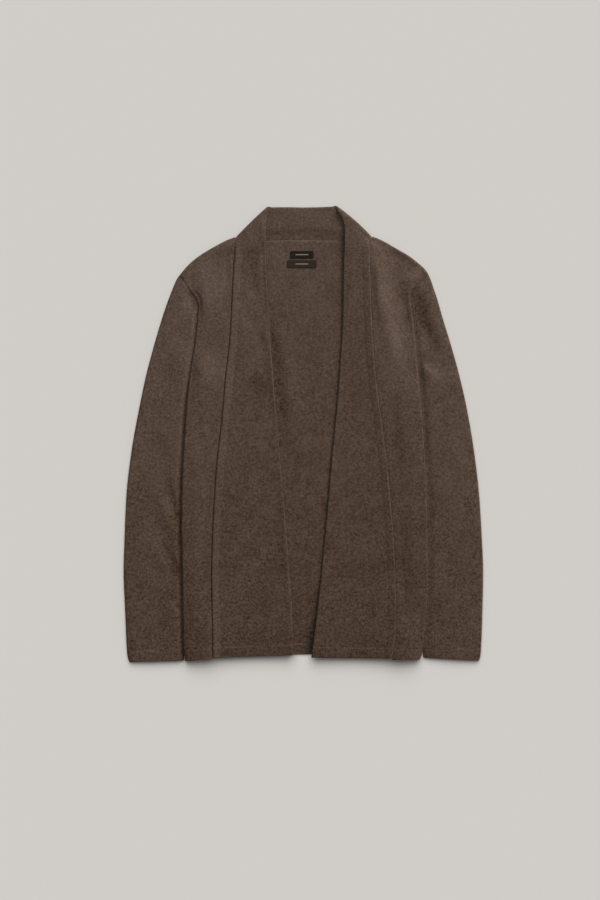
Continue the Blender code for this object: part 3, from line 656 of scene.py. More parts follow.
# %% [markdown]
# Every row of a front is a slice of cloth from the side seam to the seam with the band. It stays
# high over the sleeve that is tucked under the body, slopes down and then lies on the back. Where
# it meets the band both are pushed up a little, like a tent. Since all of this is a sum of small
# heights, each can be changed without spoiling the others.

# %% Fronts
FRONT_COLUMNS = 30
FRONT_FLOOR = KNIT + AIR + KNIT / 2  # middle of the wall where it lies on the back
FRONT_RAISE = 2.2  # how much more it stands off the back, below the yoke
RAISED_BELOW = (290, 330)
SEAM_LIFT = {  # how far the seam between front and band stands up like a tent
    "left": table(
        "y lift", (334, 0), (306, 6), (231, 7), (145, 5), (85, 3), (-27, 1), (-390, 0.6)
    ),
    "right": table("y lift", (334, 0), (300, 0.4), (85, 0.6), (-390, 0.6)),
}
TENT_REACH = {"front": 46.0, "band": 60.0}
SEAM_RISE = {"left": 0.0, "right": 1.3}  # the front's own rise beside the seam, and its reach
RISE_REACH = 36.0
SEAM_DIP = {"left": 0.1, "right": 0.4}  # how far the stitches draw the cloth in
DIP_REACH = 3.0
UNEVEN_SIZE = 55
FRONT_UNEVEN = 0.35
FREE_OF_EDGE, FREE_OF_SEAM = 6.0, 13.0  # creases die away this close to edge and seam


def front_height(side, x, y, seam_y, inset, to_seam, turned):
    """Middle of a front's wall over everything that pushes it up, but for the side it turns at."""
    width = (inset + to_seam)[:, :1]
    tent = look_up(SEAM_LIFT[side], "lift", seam_y)[:, None]
    height = tent * (1 - ease(to_seam, 0, np.minimum(TENT_REACH["front"], width)))
    height += SEAM_RISE[side] * (1 - ease(to_seam, 0, np.minimum(RISE_REACH, width)))
    height += hem_flare(side, x, y - y[-1:])
    free = ease(inset, turned, turned + FREE_OF_EDGE) * ease(to_seam, 0, FREE_OF_SEAM)
    uneven = FRONT_UNEVEN * unevenness(x, y, UNEVEN_SIZE, 11 + SIDES[side])
    return height + free * (crease_height(CREASES["front_" + side], x, y) + uneven)


def make_front(side):
    edge, seam_y, curl, (level, radius, flat, reach) = front_rows(side)
    target = np.stack([look_up(BAND_SEAM[side], "x", seam_y) + SEAM / 2, seam_y], -1)
    level = level + SEAM
    upper, lower = turned_edge(edge, inward_step(edge, target), level, radius, curl, 1)
    width = np.linalg.norm(target - edge, axis=1)
    start = np.linalg.norm(upper[:, -1, :2] - edge, axis=1)
    flat, reach = slope_ends(start, flat, reach, width)
    share = np.linspace(0, 1, FRONT_COLUMNS + 1)[1:]
    inset = lerp(start[:, None], width[:, None], share)
    plan = edge[:, None] + (target - edge)[:, None] * (inset / width[:, None])[..., None]
    x, y = plan[..., 0], plan[..., 1]
    floor = FRONT_FLOOR + band_height(seam_y) - BAND_FLOOR
    floor += FRONT_RAISE * (1 - ease(seam_y, *RAISED_BELOW))
    height = lerp(level[:, None], floor[:, None], ease(inset, flat[:, None], reach[:, None]))
    to_seam = width[:, None] - inset
    height += front_height(side, x, y, seam_y, inset, to_seam, start[:, None])
    top = height + KNIT / 2 + hem_rise(y - y[-1:])
    top -= SEAM_DIP[side] * (1 - ease(to_seam, 0, DIP_REACH))
    upper = np.concatenate([upper, np.stack([x, y, top], -1)], axis=1)
    lower = np.concatenate([lower, np.stack([x, y, height - KNIT / 2], -1)], axis=1)
    hem_lines["front_panel_" + side] = mirrored(upper[STITCH_ROW, len(TURN) :], side)
    rings = rounded_end(np.concatenate([upper, lower[:, ::-1]], axis=1))
    # Painted light and shade from the strokes.
    painted_light = crease_height(PAINTED_LIGHT_STROKES["front_" + side], rings[..., 0], rings[..., 1])
    return skin("front_panel_" + side, mirrored(rings, side), rings[..., :2], painted_light)


fronts = {half: make_front(half) for half in SIDES}
report(fronts.values())

# %% [markdown]
# The back lies flat on the table. Only its middle shows, between the two bands, so a plain sheet
# would nearly do. But its sides turn up to meet the fronts and its hem peeps out below, and a
# piece that is whole looks right from every side. Its rows start at the shoulders, follow the
# armholes and run down to the hem.

# %% Rows of the back
BACK_YOKE = table(  # x at the shoulder, and how far below the neck seam the row's middle is
    "x drop", (125, 0.2), (143, 10), (165, 21), (186, 33), (203, 46), (210.5, 61)
)
UNDERARM = table("y share", (50, 0), (38, 0.5), (30, 0.9), (20, 1))  # how far out the edge is
UNDERARM_ROWS = np.arange(46.0, 25, -4)
BACK_HANG_START, BACK_HANG_ROWS = 20, 97
HOLE_START, HOLE_STEP = 0.13, 0.025  # shares of the armhole's length
CUT_RADIUS = 1.6  # stands in for a turn's radius where an edge is cut flat
TIP_CURL = (0.9, 0.6, 0.2)  # the turn opens out over the last rows of the yoke


def back_rows(side):
    """Edge points, curl, radius and drop below the neck seam of the back's rows on one side."""
    hang = SIDE[side]
    row = np.concatenate([spaced(0, 0.8, 0.05), spaced(1, 5, 0.2)])
    x = along(BACK_YOKE, "x", row)
    yoke = np.stack([x, look_up(SHOULDER[side], "y", x, by="x")], -1)
    hole = armhole_edge(side, section_share(side, spaced(HOLE_START, 1, HOLE_STEP)))
    out = look_up(UNDERARM, "share", UNDERARM_ROWS)
    under = lerp(hole[-1, 0], look_up(hang, "x", UNDERARM_ROWS), out)
    under = np.stack([under, UNDERARM_ROWS], -1)
    hem = hang["y"][-1]
    y = np.linspace(BACK_HANG_START, hem + HEM_FINE, BACK_HANG_ROWS)
    y = np.concatenate([y, hem + HEM_ROWS])
    edge = np.concatenate([yoke, hole, under, np.stack([look_up(hang, "x", y), y], -1)])
    counts = len(row), len(hole) + len(under), len(y)
    curl = np.repeat([1.0, 0.0, 1.0], counts)
    curl[len(row) - len(TIP_CURL) : len(row)] = TIP_CURL
    radius = np.repeat([SHOULDER_RADIUS, CUT_RADIUS, 0], counts)
    radius[-len(y) :] = look_up(hang, "radius", y)
    drop = np.full(len(edge), np.nan)
    drop[: len(row)] = along(BACK_YOKE, "drop", row)
    return edge, curl, radius, drop


print("rows of the back:", len(back_rows("left")[0]))

# %% [markdown]
# The inside of the back is the calmest part of the garment, with one long soft hollow beside the
# band and a few shallow swells. Its height is a function of the place, not a list, because the
# labels and the stitches that lie on it have to ask for the same height.

# %% Height of the back
UNDERARM_Y = 50  # the sides are raised below this
BACK_DOWN_Y = 86  # and above this the armhole's edge lies on the table
NECK_DIP = 1.2  # how far the seam of the collar draws the cloth down, and its reach
NECK_DIP_REACH = 4.0
BACK_UNEVEN, BACK_UNEVEN_SIZE = 0.25, 40
DEEPEST = -1.2  # no crease goes lower, so the cloth keeps half its thickness
CREASES["back"] = strokes(
    (-57, 193, -48, 107, -34, -10, 7.7, -1, 0, 0.35, 0.4),
    (-39, 193, -29, 107, -15, -10, 11.2, 2.8, 0.2, 0.4, 0.4),
    (-48, 210, -38, 202, -26, 193, 6.9, -1.2, 0, 0.4, 0.4),
    (-12, 248, 5, 210, 16, 169, 12, 1.2, 0, 0.4, 0.5),
    (33, 245, 33, 179, 26, 110, 12, 1.2, 0, 0.4, 0.5),
    (-36, -20, -12, -51, 16, -68, 10.3, -1.2, 0, 0.4, 0.4),
)
# Painted shade darkens the hollow beside the band.
PAINTED_LIGHT_STROKES["back"] = strokes(
    (-55, 231, -46, 107, -29, -20, 7.9, -0.24, 0, 0.25, 0.15),
)


def back_lift(side, x, y):
    """How far the back stands off the table, where its side lies on the sleeve."""
    hang = SIDE[side]
    level = look_up(hang, "level", y) - 2 * look_up(hang, "radius", y) - KNIT / 2
    level *= 1 - ease(y, UNDERARM_Y, BACK_DOWN_Y)
    inset = look_up(hang, "x", y) - x
    return level * (1 - ease(inset, look_up(hang, "flat", y), look_up(hang, "reach", y)))


def back_swell(x, y):
    """How far the inside of the back stands over its plain flat height."""
    neck = look_up(NECK_SEAM, "y", np.abs(x), by="x") - y
    seam = -NECK_DIP * (1 - ease(neck, 0, NECK_DIP_REACH))
    soft = BACK_UNEVEN * (1 + unevenness(x, y, BACK_UNEVEN_SIZE, 5))
    return np.maximum(crease_height(CREASES["back"], x, y) + soft + seam, DEEPEST)


middle_line = back_swell(np.zeros(5), np.linspace(-300, 300, 5))
print("swell down the middle of the back:", middle_line.round(2), "mm")

# %% [markdown]
# The back is built as two halves that share the middle line, because each side has an outline of
# its own. A Mirror modifier would force them to be alike. Its hem arches up towards the middle,
# as a hem does that hangs from two side seams.

# %% Back
BACK_HEM_Y = -387.5  # the hem at the sides
BACK_ARCH = 10.2  # how much higher it is in the middle
HEM_BOW, BOW_FROM, BOW_TO = 3.0, 150, 350  # how far and from where rows bow towards the hem
BACK_CALM = 20  # swells die away this close to the turned edge
BACK_SLOPE_COLUMNS, BACK_MIDDLE_COLUMNS = 22, 30
BACK_STITCHED = 150  # stitches show this far from the middle line at the hem
NECK_STITCHED = 66  # and at the neck
NECK_STITCH_DROP = 1.6  # they lie this far below the neck seam
neck_line = []


def back_plan(side, edge, middle, curl, start, width):
    """Places of one half of the back seen from above, and how far in from the edge they are."""
    hang = SIDE[side]
    set_in = np.where(curl < 1, np.maximum(look_up(hang, "x", edge[:, 1]) - edge[:, 0], 0), 0)
    flat, reach = (look_up(hang, name, edge[:, 1]) - set_in for name in ("flat", "reach"))
    reach = slope_ends(start, flat, reach, width)[1][:, None]
    slope = lerp(start[:, None], reach, np.linspace(0, 1, BACK_SLOPE_COLUMNS + 1)[1:])
    inner = lerp(reach, width[:, None], np.linspace(0, 1, BACK_MIDDLE_COLUMNS + 1)[1:])
    inset = np.concatenate([slope, inner], axis=1)
    share = inset / width[:, None]
    plan = edge[:, None] + (middle - edge)[:, None] * share[..., None]
    plan[..., 1] += HEM_BOW * np.sin(math.pi * share) * ease(-plan[..., 1], BOW_FROM, BOW_TO)
    return plan, inset


def back_half(side, rows, other):
    """Both faces of one half of the back, from the side seam to the middle line."""
    edge, curl, radius, drop = rows
    middle_y = (edge[:, 1] + other[0][:, 1]) / 2
    middle_y = middle_y + BACK_ARCH * ease(-middle_y, 0, -BACK_HEM_Y)
    middle = np.stack([np.zeros(len(edge)), middle_y], -1)
    level = KNIT / 2 + back_lift(side, edge[:, 0], edge[:, 1])
    lower, upper = turned_edge(edge, inward_step(edge, middle), level, radius, curl, -1)
    start = np.linalg.norm(lower[:, -1, :2] - edge, axis=1)
    width = np.linalg.norm(middle - edge, axis=1)
    plan, inset = back_plan(side, edge, middle, curl, start, width)
    held = ~np.isnan(drop)
    for places in (plan, upper, lower):
        limit = look_up(NECK_SEAM, "y", places[held, :, 0], by="x") - drop[held, None]
        places[held, :, 1] = np.minimum(places[held, :, 1], limit)
    x, y = plan[..., 0], plan[..., 1]
    base = back_lift(side, x, y)
    start = start[:, None]
    lift = back_swell(SIDES[side] * x, y) * ease(inset, start, start + BACK_CALM)
    top = base + KNIT + lift + hem_rise(y - y[-1:])
    lower = np.concatenate([lower, np.stack([x, y, base], -1)], axis=1)
    upper = np.concatenate([upper, np.stack([x, y, top], -1)], axis=1)
    return mirrored(upper, side), mirrored(lower, side)


def make_back():
    left, right = back_rows("left"), back_rows("right")
    upper_left, lower_left = back_half("left", left, right)
    upper_right, lower_right = back_half("right", right, left)
    upper = np.concatenate([upper_right, upper_left[:, -2::-1]], axis=1)
    lower = np.concatenate([lower_right, lower_left[:, -2::-1]], axis=1)
    inner = upper[STITCH_ROW]
    hem_lines["back_panel"] = inner[np.abs(inner[:, 0]) < BACK_STITCHED]
    x = spaced(-NECK_STITCHED, NECK_STITCHED, 3)
    y = look_up(NECK_SEAM, "y", np.abs(x), by="x") - NECK_STITCH_DROP
    neck_line.append(np.stack([x, y, KNIT + back_swell(x, y)], -1))
    rings = rounded_end(np.concatenate([upper, lower[:, ::-1]], axis=1))
    # Painted shade from the stroke above.
    painted_light = crease_height(PAINTED_LIGHT_STROKES["back"], rings[..., 0], rings[..., 1])
    return skin("back_panel", rings, rings[..., :2], painted_light)


back = make_back()
report([back])

# %% [markdown]
# The shawl collar and the front band are one long strip of double knit. Behind the neck it lies
# face down; at the shoulders it folds over itself, and from there it runs down the fronts to the
# hem. Two separate strips would be easier, but their join would show right at the fold. So the
# strip's rows carry a direction as well: which way the side that shows is facing. Going round the
# collar's fold that direction turns half a circle.

# %% Fold of the collar
COLLAR_TOP = {
    "left": table("x y", (0, 389.8), (25, 390.2), (56, 391.5)),
    "right": table("x y", (0, 389.8), (30, 390.2), (60, 390)),
}
CREASE = {  # neck end and free end of the fold, at its outermost
    "left": ((117.6, 338.2), (56, 392.5)),
    "right": ((117.6, 336.2), (61.5, 391)),
}
BOW = {"left": 2.8, "right": 1.2}  # how far the strip bows outward at the fold
BOW_BEFORE, BOW_AFTER = 9, 14  # rows over which the bow comes and goes
BOW_SHAPE = 0.6  # below 1 the bow is blunt, as a fold is that is pressed flat
FOLD_ROWS = 19
NECK_SLIDE = {"left": 3.0, "right": 2.4}  # how the seam and the free edge wrap round the fold
TIP_SLIDE = {"left": (3.4, 7.5), "right": (3.6, 5.6)}
COLLAR_SHARES = np.concatenate([[0, 0.006, 0.014, 0.03, 0.05], np.linspace(0.08, 1, 24)[:-1]])


def fold_direction(side):
    """The way the collar's fold points, square to its crease."""
    neck, tip = CREASE[side]
    across = np.array([tip[1] - neck[1], neck[0] - tip[0]])
    return across / np.linalg.norm(across)


def fold_bow(side, row, shown_from):
    """How far each row of the band bows outward, most of all at the fold of the collar."""
    before = ease(shown_from - FOLD_ROWS - row, 0, BOW_BEFORE)
    after = ease(row - shown_from, 0, BOW_AFTER)
    return BOW[side] * (1 - before) * (1 - after)


def collar_rows(side):
    """Seam points, edge points and facing of the rows behind the neck and round the fold."""
    neck, tip = (np.array(p) for p in CREASE[side])
    down = (neck - tip) / np.linalg.norm(neck - tip)
    set_in = fold_direction(side) * (CREASE_RADIUS + BAND / 2)
    neck_start, tip_start = neck - set_in, tip - set_in
    below, above = TIP_SLIDE[side]
    starts = neck_start + down * NECK_SLIDE[side], tip_start - down * below
    seam_x, top_x = (lerp(SEAM / 2, start[0], COLLAR_SHARES) for start in starts)
    seam_y = look_up(NECK_SEAM, "y", seam_x, by="x") + SEAM
    top_y = look_up(COLLAR_TOP[side], "y", top_x, by="x")
    z = np.full(len(COLLAR_SHARES), BAND / 2)
    seam, edge = np.stack([seam_x, seam_y, z], -1), np.stack([top_x, top_y, z], -1)
    facing = np.tile([0.0, 0, -1], (len(COLLAR_SHARES), 1))
    turn = np.radians(spaced(-90, 90, 180 / (FOLD_ROWS - 1)))
    rise = np.sin(turn)[:, None]
    z = BAND / 2 + CREASE_RADIUS * (1 + rise)
    off = fold_direction(side) * CREASE_RADIUS * np.cos(turn)[:, None]
    tip_slide = rise * np.where(rise < 0, below, above)
    round_seam = np.hstack([neck_start + off + down * NECK_SLIDE[side] * np.abs(rise), z])
    round_edge = np.hstack([tip_start + off + down * tip_slide, z])
    round_facing = np.hstack([fold_direction(side) * np.cos(turn)[:, None], rise])
    return (
        np.concatenate([seam, round_seam]),
        np.concatenate([edge, round_edge]),
        np.concatenate([facing, round_facing]),
    )


print("rows from the middle of the neck round the fold:", len(collar_rows("left")[0]))

# %% [markdown]
# Past the fold the strip lies face up. Its seam with the front and its free edge are two lines that
# come closer together towards the neck, and the strip could be filled in between them by a Skin or
# a Bridge tool. Rows with known ends keep the hem, the seam and the front's own rows in step.

# %% Rows of the band on the front
BAND_EDGE = {
    "left": table(
        "y x",
        (389, 58.5), (377, 64.5), (351, 70.5), (326, 70.5), (300, 69), (196, 67.5), (128, 63.5),
        (59, 58.5), (-45, 48.5), (-165, 38), (-285, 26), (-384, 13.5),
    ),
    "right": table(
        "y x",
        (389, 62), (351, 64.5), (317, 65), (282, 63.5), (196, 58.5), (93, 51.5), (-10, 43),
        (-113, 34), (-216, 25.5), (-300, 19.5), (-384, 17),
    ),
}
BAND_HEM = {"left": -384, "right": -383}
BAND_HEM_SLANT = {"left": 1.6, "right": 5.0}  # how much higher the hem is at the free edge
LINKS = (0.25, 0.5, 0.75)  # rows between the last of the fold and the first of the front
HOLE_ROWS = spaced(0, 1, 0.09)[1:-1]  # and those between the yoke and the underarm


def lapel_rows(side):
    """Seam points, edge points and facing of the rows from the collar's fold to the hem."""
    first, hem = SIDE[side]["y"][0], BAND_HEM[side]
    hole_y = lerp(YOKE["seam_y"][-1], first, HOLE_ROWS)
    hang_y = hang_rows(first, hem)
    seam_y = np.concatenate([along(YOKE, "seam_y", YOKE_ROWS), hole_y, hang_y])
    slanted_y = hang_y + BAND_HEM_SLANT[side] * slant_share(hang_y - hem)
    edge_y = np.concatenate([along(YOKE, "edge_y", YOKE_ROWS), hole_y, slanted_y])
    seam_x = look_up(BAND_SEAM[side], "x", seam_y) - SEAM / 2
    edge_x = look_up(BAND_EDGE[side], "x", edge_y)
    seam = np.stack([seam_x, seam_y, band_height(seam_y)], -1)
    edge = np.stack([edge_x, edge_y, band_height(edge_y)], -1)
    return seam, edge, np.tile([0.0, 0, 1], (len(seam), 1))


def band_rows(side):
    """The same for all rows of the band, and the number of the first that shows its face."""
    folded, lapel = collar_rows(side), lapel_rows(side)
    rows = []
    for above, below in zip(folded, lapel):
        links = [lerp(above[-1], below[0], share) for share in LINKS]
        rows.append(np.concatenate([above, links, below]))
    return (*rows, len(folded[0]))


band_seam_points, band_edge_points = band_rows("left")[:2]
print("length of the left band at its seam:", round(lengths(band_seam_points)[-1]), "mm")
print("and along its free edge:", round(lengths(band_edge_points)[-1]), "mm")

# %% [markdown]
# The band is double and so softer to the touch than the fronts, with longer and shallower creases.
# Most of them run down it from the collar, where the strip has been folded over and pressed.

# %% Creases of the band
CREASES["band_right"] = strokes(
    (84, 334, 88, 289, 84, 231, 10.3, -2, 0, 0.4, 0.4),
    (70, 382, 70, 355, 65, 317, 6, 2.2, 0, 0.3, 0.4),
    (63, 317, 60, 231, 53, 153, 5.8, 2.4, 0, 0.25, 0.4),
    (58, 193, 51, 107, 38, -10, 8.6, 3, 0, 0.35, 0.35),
    (100, 241, 86, 246, 72, 251, 7.7, -1.6, 0, 0.4, 0.4),
    (105, 200, 91, 195, 76, 202, 7.7, -1.6, 0, 0.4, 0.4),
    (82, 183, 74, 160, 70, 131, 7.9, -1.8, 0, 0.4, 0.4),
    (108, 100, 84, 83, 60, 52, 13.8, -2, 0, 0.4, 0.4),
    (112, 231, 105, 179, 105, 121, 10.3, 1.4, 0, 0.4, 0.4),
    (39, -27, 31, -165, 20, -337, 6, 2, 0, 0.3, 0.4),
    (129, -285, 91, -306, 39, -295, 15.5, -1.4, 0, 0.4, 0.4),
)
CREASES["band_left"] = strokes(
    (84, 317, 81, 231, 71, 128, 13.8, 1.2, 0, 0.3, 0.5),
    (64, 24, 72, -62, 67, -182, 15.5, -1, 0, 0.4, 0.4),
    (84, -268, 102, -295, 133, -306, 15.5, -1.4, 0, 0.4, 0.4),
)
# Painted light and shade on the bands. Positive strokes paint the colour lighter, negative ones
# darker.
PAINTED_LIGHT_STROKES["band_right"] = strokes(
    (86, 331, 89, 286, 79, 245, 12, -0.2, 0, 0.3, 0.4),
    (98, 104, 82, 76, 70, 35, 15.5, -0.26, 0, 0.3, 0.3),
    (69, 386, 69, 248, 38, -10, 2.8, 0.17, 0, 0.05, 0.2),
    (41, 7, 29, -165, 20, -363, 2.8, 0.12, 0, 0.2, 0.1),
    (67, 391, 48, 382, 24, 379, 6.9, -0.1, 0, 0.2, 0.4),
    (70, 350, 39, 344, 0, 344, 7.7, -0.12, 0, 0.1, 0),
)
PAINTED_LIGHT_STROKES["band_left"] = strokes(
    (-2, 389, 29, 382, 53, 370, 10.3, 0.07, 0, 0.3, 0.3),
    (0, 344, 29, 344, 57, 348, 7.7, -0.12, 0, 0, 0.1),
    (153, 24, 162, -148, 160, -354, 6.9, -0.06, 0, 0.3, 0.3),
)
print("creases of the band:", sum(len(CREASES["band_" + half]["x"]) for half in SIDES))

# %% [markdown]
# Beside the seam with the front a strip of seam allowance is pressed flat inside the band, and the
# cloth over it stands up as a low, even ridge. A lighter stripe painted on alone would not throw
# the thin shadow that shows it is there. So the ridge is raised in the points, with more of them
# near the seam than elsewhere. Its colour is also painted a little lighter, as a painted highlight
# along the ridge.

# %% Collar band
BAND_COLUMNS = 26
NEAR_SEAM = np.array([0, 0.5, 1.2, 2.4, 4, 6, 8, 9.8, 11, 11.8, 12.5, 13.2, 14, 15.2])
EDGE_TURN = np.radians([72, 54, 36, 20, 5])  # round the free edge, from the side that shows
STRIP_WIDTH, STRIP_RISE = 13.0, 2.2
STRIP_CREST = 2.2  # the strip is highest this far from the seam
STRIP_LEVEL = 0.2  # share of its height that it keeps at its far side
STRIP_END = (STRIP_WIDTH - 1.2, STRIP_WIDTH + 0.8)  # there it steps down
STRIP_STARTS = (312, 332)  # it begins between these heights, below the collar's fold
STRIP_PAINTED_LIGHT = {"left": 0.04, "right": 0.12}  # its colour is painted lighter, a painted highlight on the raised strip
STRIP_PAINTED_LIGHT_END = (STRIP_WIDTH - 2, STRIP_WIDTH + 1)
CENTRE_DIP, CENTRE_REACH = 0.3, 2.6  # the join of the two halves at the centre back
COLLAR_DIP = 2.4  # how far the neck seam draws the collar down
COLLAR_DIP_WIDTH = (6, 25)
BAND_UNEVEN, BAND_UNEVEN_SIZE = 0.3, 45
SETTLE_ROWS = 6  # creases build up over these rows past the fold
OFF_SEAM, OFF_EDGE, OFF_NECK = 5, 2, 8  # and die away this close to seam, free edge and neck


def strip_lift(side, strip, inset):
    """How far the strip lifts the band's face, and how far the seam draws it in."""
    crest = np.clip(1 - (inset - STRIP_CREST) / (STRIP_WIDTH - STRIP_CREST), 0, 1)
    lift = STRIP_RISE * strip * lerp(STRIP_LEVEL, 1, crest) * (1 - ease(inset, *STRIP_END))
    return lift - (SEAM_DIP[side] + STRIP_RISE * strip) * (1 - ease(inset, 0, STRIP_CREST))


def band_points(side, seam, run, inset, row, shown_from):
    """Points in the middle of the band's wall, lifted by all that the band lies on."""
    width = np.linalg.norm(run, axis=1, keepdims=True)
    points = seam[:, None] + (run / width)[:, None] * inset[..., None]
    bow = fold_bow(side, row, shown_from)
    swung = bow * np.sin(math.pi * np.clip(inset / width, 0, 1)) ** BOW_SHAPE
    points[..., :2] += swung[..., None] * fold_direction(side)
    off_seam = np.linalg.norm(points[..., :2] - seam[:, None, :2], axis=-1)
    from_hem = points[..., 1] - BAND_HEM[side] - BAND_HEM_SLANT[side] * off_seam / width
    points[..., 2] += (row >= shown_from) * hem_flare(side, points[..., 0], from_hem)
    relief = crease_height(CREASES["band_" + side], points[..., 0], points[..., 1])
    settle = ease(row - shown_from, 0, SETTLE_ROWS)
    tent = look_up(SEAM_LIFT[side], "lift", seam[:, 1:2])
    tent = tent * (1 - ease(off_seam, 0, TENT_REACH["band"]))
    points[..., 2] += settle * (np.maximum(relief, 0) * ease(off_seam, 0, OFF_SEAM) + tent)
    return points, relief, settle


def make_band(side):
    seam, edge, facing, shown_from = band_rows(side)
    run = edge - seam
    width = np.linalg.norm(run, axis=1, keepdims=True)
    half = BAND / 2
    row = np.arange(len(seam))[:, None]
    shown = row >= shown_from
    level = lerp(NEAR_SEAM[-1], width - half, np.linspace(0, 1, BAND_COLUMNS + 1)[1:])
    level = np.concatenate([np.tile(NEAR_SEAM, (len(seam), 1)), level], axis=1)
    inset = np.concatenate([level, width - half + half * np.cos(EDGE_TURN)], axis=1)
    points, relief, settle = band_points(side, seam, run, inset, row, shown_from)
    flat = slice(0, level.shape[1])
    x, y = points[:, flat, 0], points[:, flat, 1]

    strip = (1 - ease(seam[:, 1:2], *STRIP_STARTS)) * shown
    uneven = BAND_UNEVEN * unevenness(x, y, BAND_UNEVEN_SIZE, 21 + SIDES[side])
    relief = np.minimum(relief[:, flat] + uneven, 0) * ease(width - level, 0, OFF_EDGE) * settle
    from_hem = y - BAND_HEM[side] - BAND_HEM_SLANT[side] * level / width
    lift = strip_lift(side, strip, level) + relief + hem_rise(from_hem) * shown
    centre = CENTRE_DIP * ~shown * (1 - ease(x, SEAM / 2, CENTRE_REACH))
    swell = 1 + unevenness(x, y, BAND_UNEVEN_SIZE, 7 + SIDES[side])
    swell = BAND_UNEVEN * swell * ease(level, 0, OFF_NECK)
    swell -= COLLAR_DIP * (1 - ease(level, *COLLAR_DIP_WIDTH))

    rise = np.tile(half * np.sin(EDGE_TURN), (len(seam), 1))
    over = np.concatenate([half + lift - centre, rise], axis=1)
    under = np.concatenate([half - centre + swell * ~shown, rise], axis=1)
    upper = points + facing[:, None] * over[..., None]
    lower = points - facing[:, None] * under[..., None]
    hem_lines["collar_band_" + side] = mirrored(upper[STITCH_ROW, flat], side)
    rings = rounded_end(np.concatenate([upper, lower[:, ::-1]], axis=1))
    down = np.tile(lengths((seam + edge) / 2)[:, None], (1, inset.shape[1]))
    # Painted highlight along the raised strip beside the seam.
    strip_painted_light = STRIP_PAINTED_LIGHT[side] * strip * (1 - ease(inset, *STRIP_PAINTED_LIGHT_END))
    columns = np.stack([inset, down, strip_painted_light], -1)
    columns = np.concatenate([columns, columns[:, ::-1]], axis=1)
    columns = np.concatenate([columns, np.repeat(columns[-1:], len(ROUNDING), axis=0)])
    # Painted light and shade from the strokes, with the painted highlight on the strip.
    painted_light = crease_height(PAINTED_LIGHT_STROKES["band_" + side], rings[..., 0], rings[..., 1]) + columns[..., 2]
    return skin("collar_band_" + side, mirrored(rings, side), columns[..., :2], painted_light)


bands = {half: make_band(half) for half in SIDES}
report(bands.values())

# %% [markdown]
# A sleeve is a tube, here pressed flat with a fold down each side. A cylinder could be squashed,
# but its rings would stay square to its length, and a sleeve's first ring is the slanting curve of
# the armhole. So the tube is laid out between its two folds, and a table says where each ring
# meets them.

# %% Folds and rings of the sleeves
SLEEVE_OUTER = {  # the fold at the outer side
    "left": table(
        "y x",
        (274.6, 214.8), (265, 219), (251.5, 223.5), (231, 230.5), (205, 237.8), (153, 253.7),
        (102, 267.8), (50, 279.7), (-27, 293), (-104, 302), (-182, 306.8), (-234, 308.9),
        (-311, 307.5), (-363, 305.6), (-380, 304.3), (-391, 301),
    ),
    "right": table(
        "y x",
        (273.2, 213), (265, 218.2), (251.5, 224), (231, 232), (205, 241), (153, 256.5), (102, 270),
        (50, 281), (-27, 295), (-104, 304), (-182, 307.5), (-234, 308.9), (-311, 306),
        (-363, 303.8), (-380, 302.4), (-393, 299),
    ),
}
SLEEVE_INNER = {  # the fold at the inner side, which the body covers
    "left": table(
        "y x",
        (50, 186), (16, 189.5), (-27, 191), (-113, 194.5), (-216, 196.3), (-285, 198), (-354, 203),
        (-386, 206.8),
    ),
    "right": table(
        "y x",
        (50, 184), (16, 188.2), (-27, 190.8), (-113, 192.5), (-216, 194.2), (-285, 197.6),
        (-354, 202.8), (-390, 205.5),
    ),
}
# Where each ring of a sleeve meets the two folds, how much of the armhole's curve is left in it,
# and how far its upper layer stands over the plain slope between the folds.
SLEEVE_RUN = {
    "left": table(
        "outer_y inner_y bow loft",
        (274.6, 50, 1, 0), (231, 36, 0.8, 0.7), (179, 10, 0.46, 1.4), (102, -45, 0.12, 1.6),
        (0, -115, 0, 1.6), (-130, -205, 0, 1.5), (-262, -295, 0, 1.4), (-388.2, -382.8, 0, 2.6),
    ),
    "right": table(
        "outer_y inner_y bow loft",
        (273.2, 50, 1, 0), (231, 36, 0.8, 0.7), (179, 10, 0.46, 1.4), (102, -45, 0.12, 1.6),
        (0, -115, 0, 1.6), (-130, -205, 0, 1.5), (-262, -295, 0, 1.4), (-390.4, -387.8, 0, 2.6),
    ),
}
RING_STEP = 3.4
SLEEVE_SIDEWAYS = 90.0  # how far out a sleeve's outer fold runs on its way down
CUFF_RUN = 120.0  # millimetres of sleeve in the last step of the table
CUFF_FINE = 0.19  # share of that step in which the rings are closer together


def sleeve_rings(side):
    """Both folds' places for every ring of a sleeve, and its bow and loft."""
    run = SLEEVE_RUN[side]
    last = len(run["outer_y"]) - 1
    length = np.linalg.norm([run["outer_y"][0] - run["outer_y"][-1], SLEEVE_SIDEWAYS])
    row = spaced(0, last - CUFF_FINE, last * RING_STEP / length)
    row = np.concatenate([row, last - HEM_ROWS / CUFF_RUN])
    outer_y, inner_y, bow, loft = (along(run, name, row)[:, None] for name in run)
    outer = np.stack([look_up(SLEEVE_OUTER[side], "x", outer_y), outer_y], -1)
    inner = np.stack([look_up(SLEEVE_INNER[side], "x", inner_y), inner_y], -1)
    return outer, inner, bow, loft


def sleeve_plan(side, rings, share):
    """Places between the two folds, with what is left of the armhole's curve in them."""
    outer, inner, bow, _ = rings
    ends = armhole_point(side, np.array(0.0)), armhole_point(side, np.array(1.0))
    seam = armhole_point(side, share) - lerp(*ends, share[..., None])
    return lerp(outer, inner, share[..., None]) + bow[..., None] * seam


print("rings of a sleeve:", len(sleeve_rings("left")[0]))

# %% [markdown]
# The left sleeve's creases start at the shoulder and fan out towards its outer fold. Most of the
# right one's lie low, in the bend of the elbow. Close to the body a sleeve is lower, since the
# body's side lies on it and presses it down. A sculpted sleeve could have the same folds, but it
# would have to be done again for each change to the body's side.

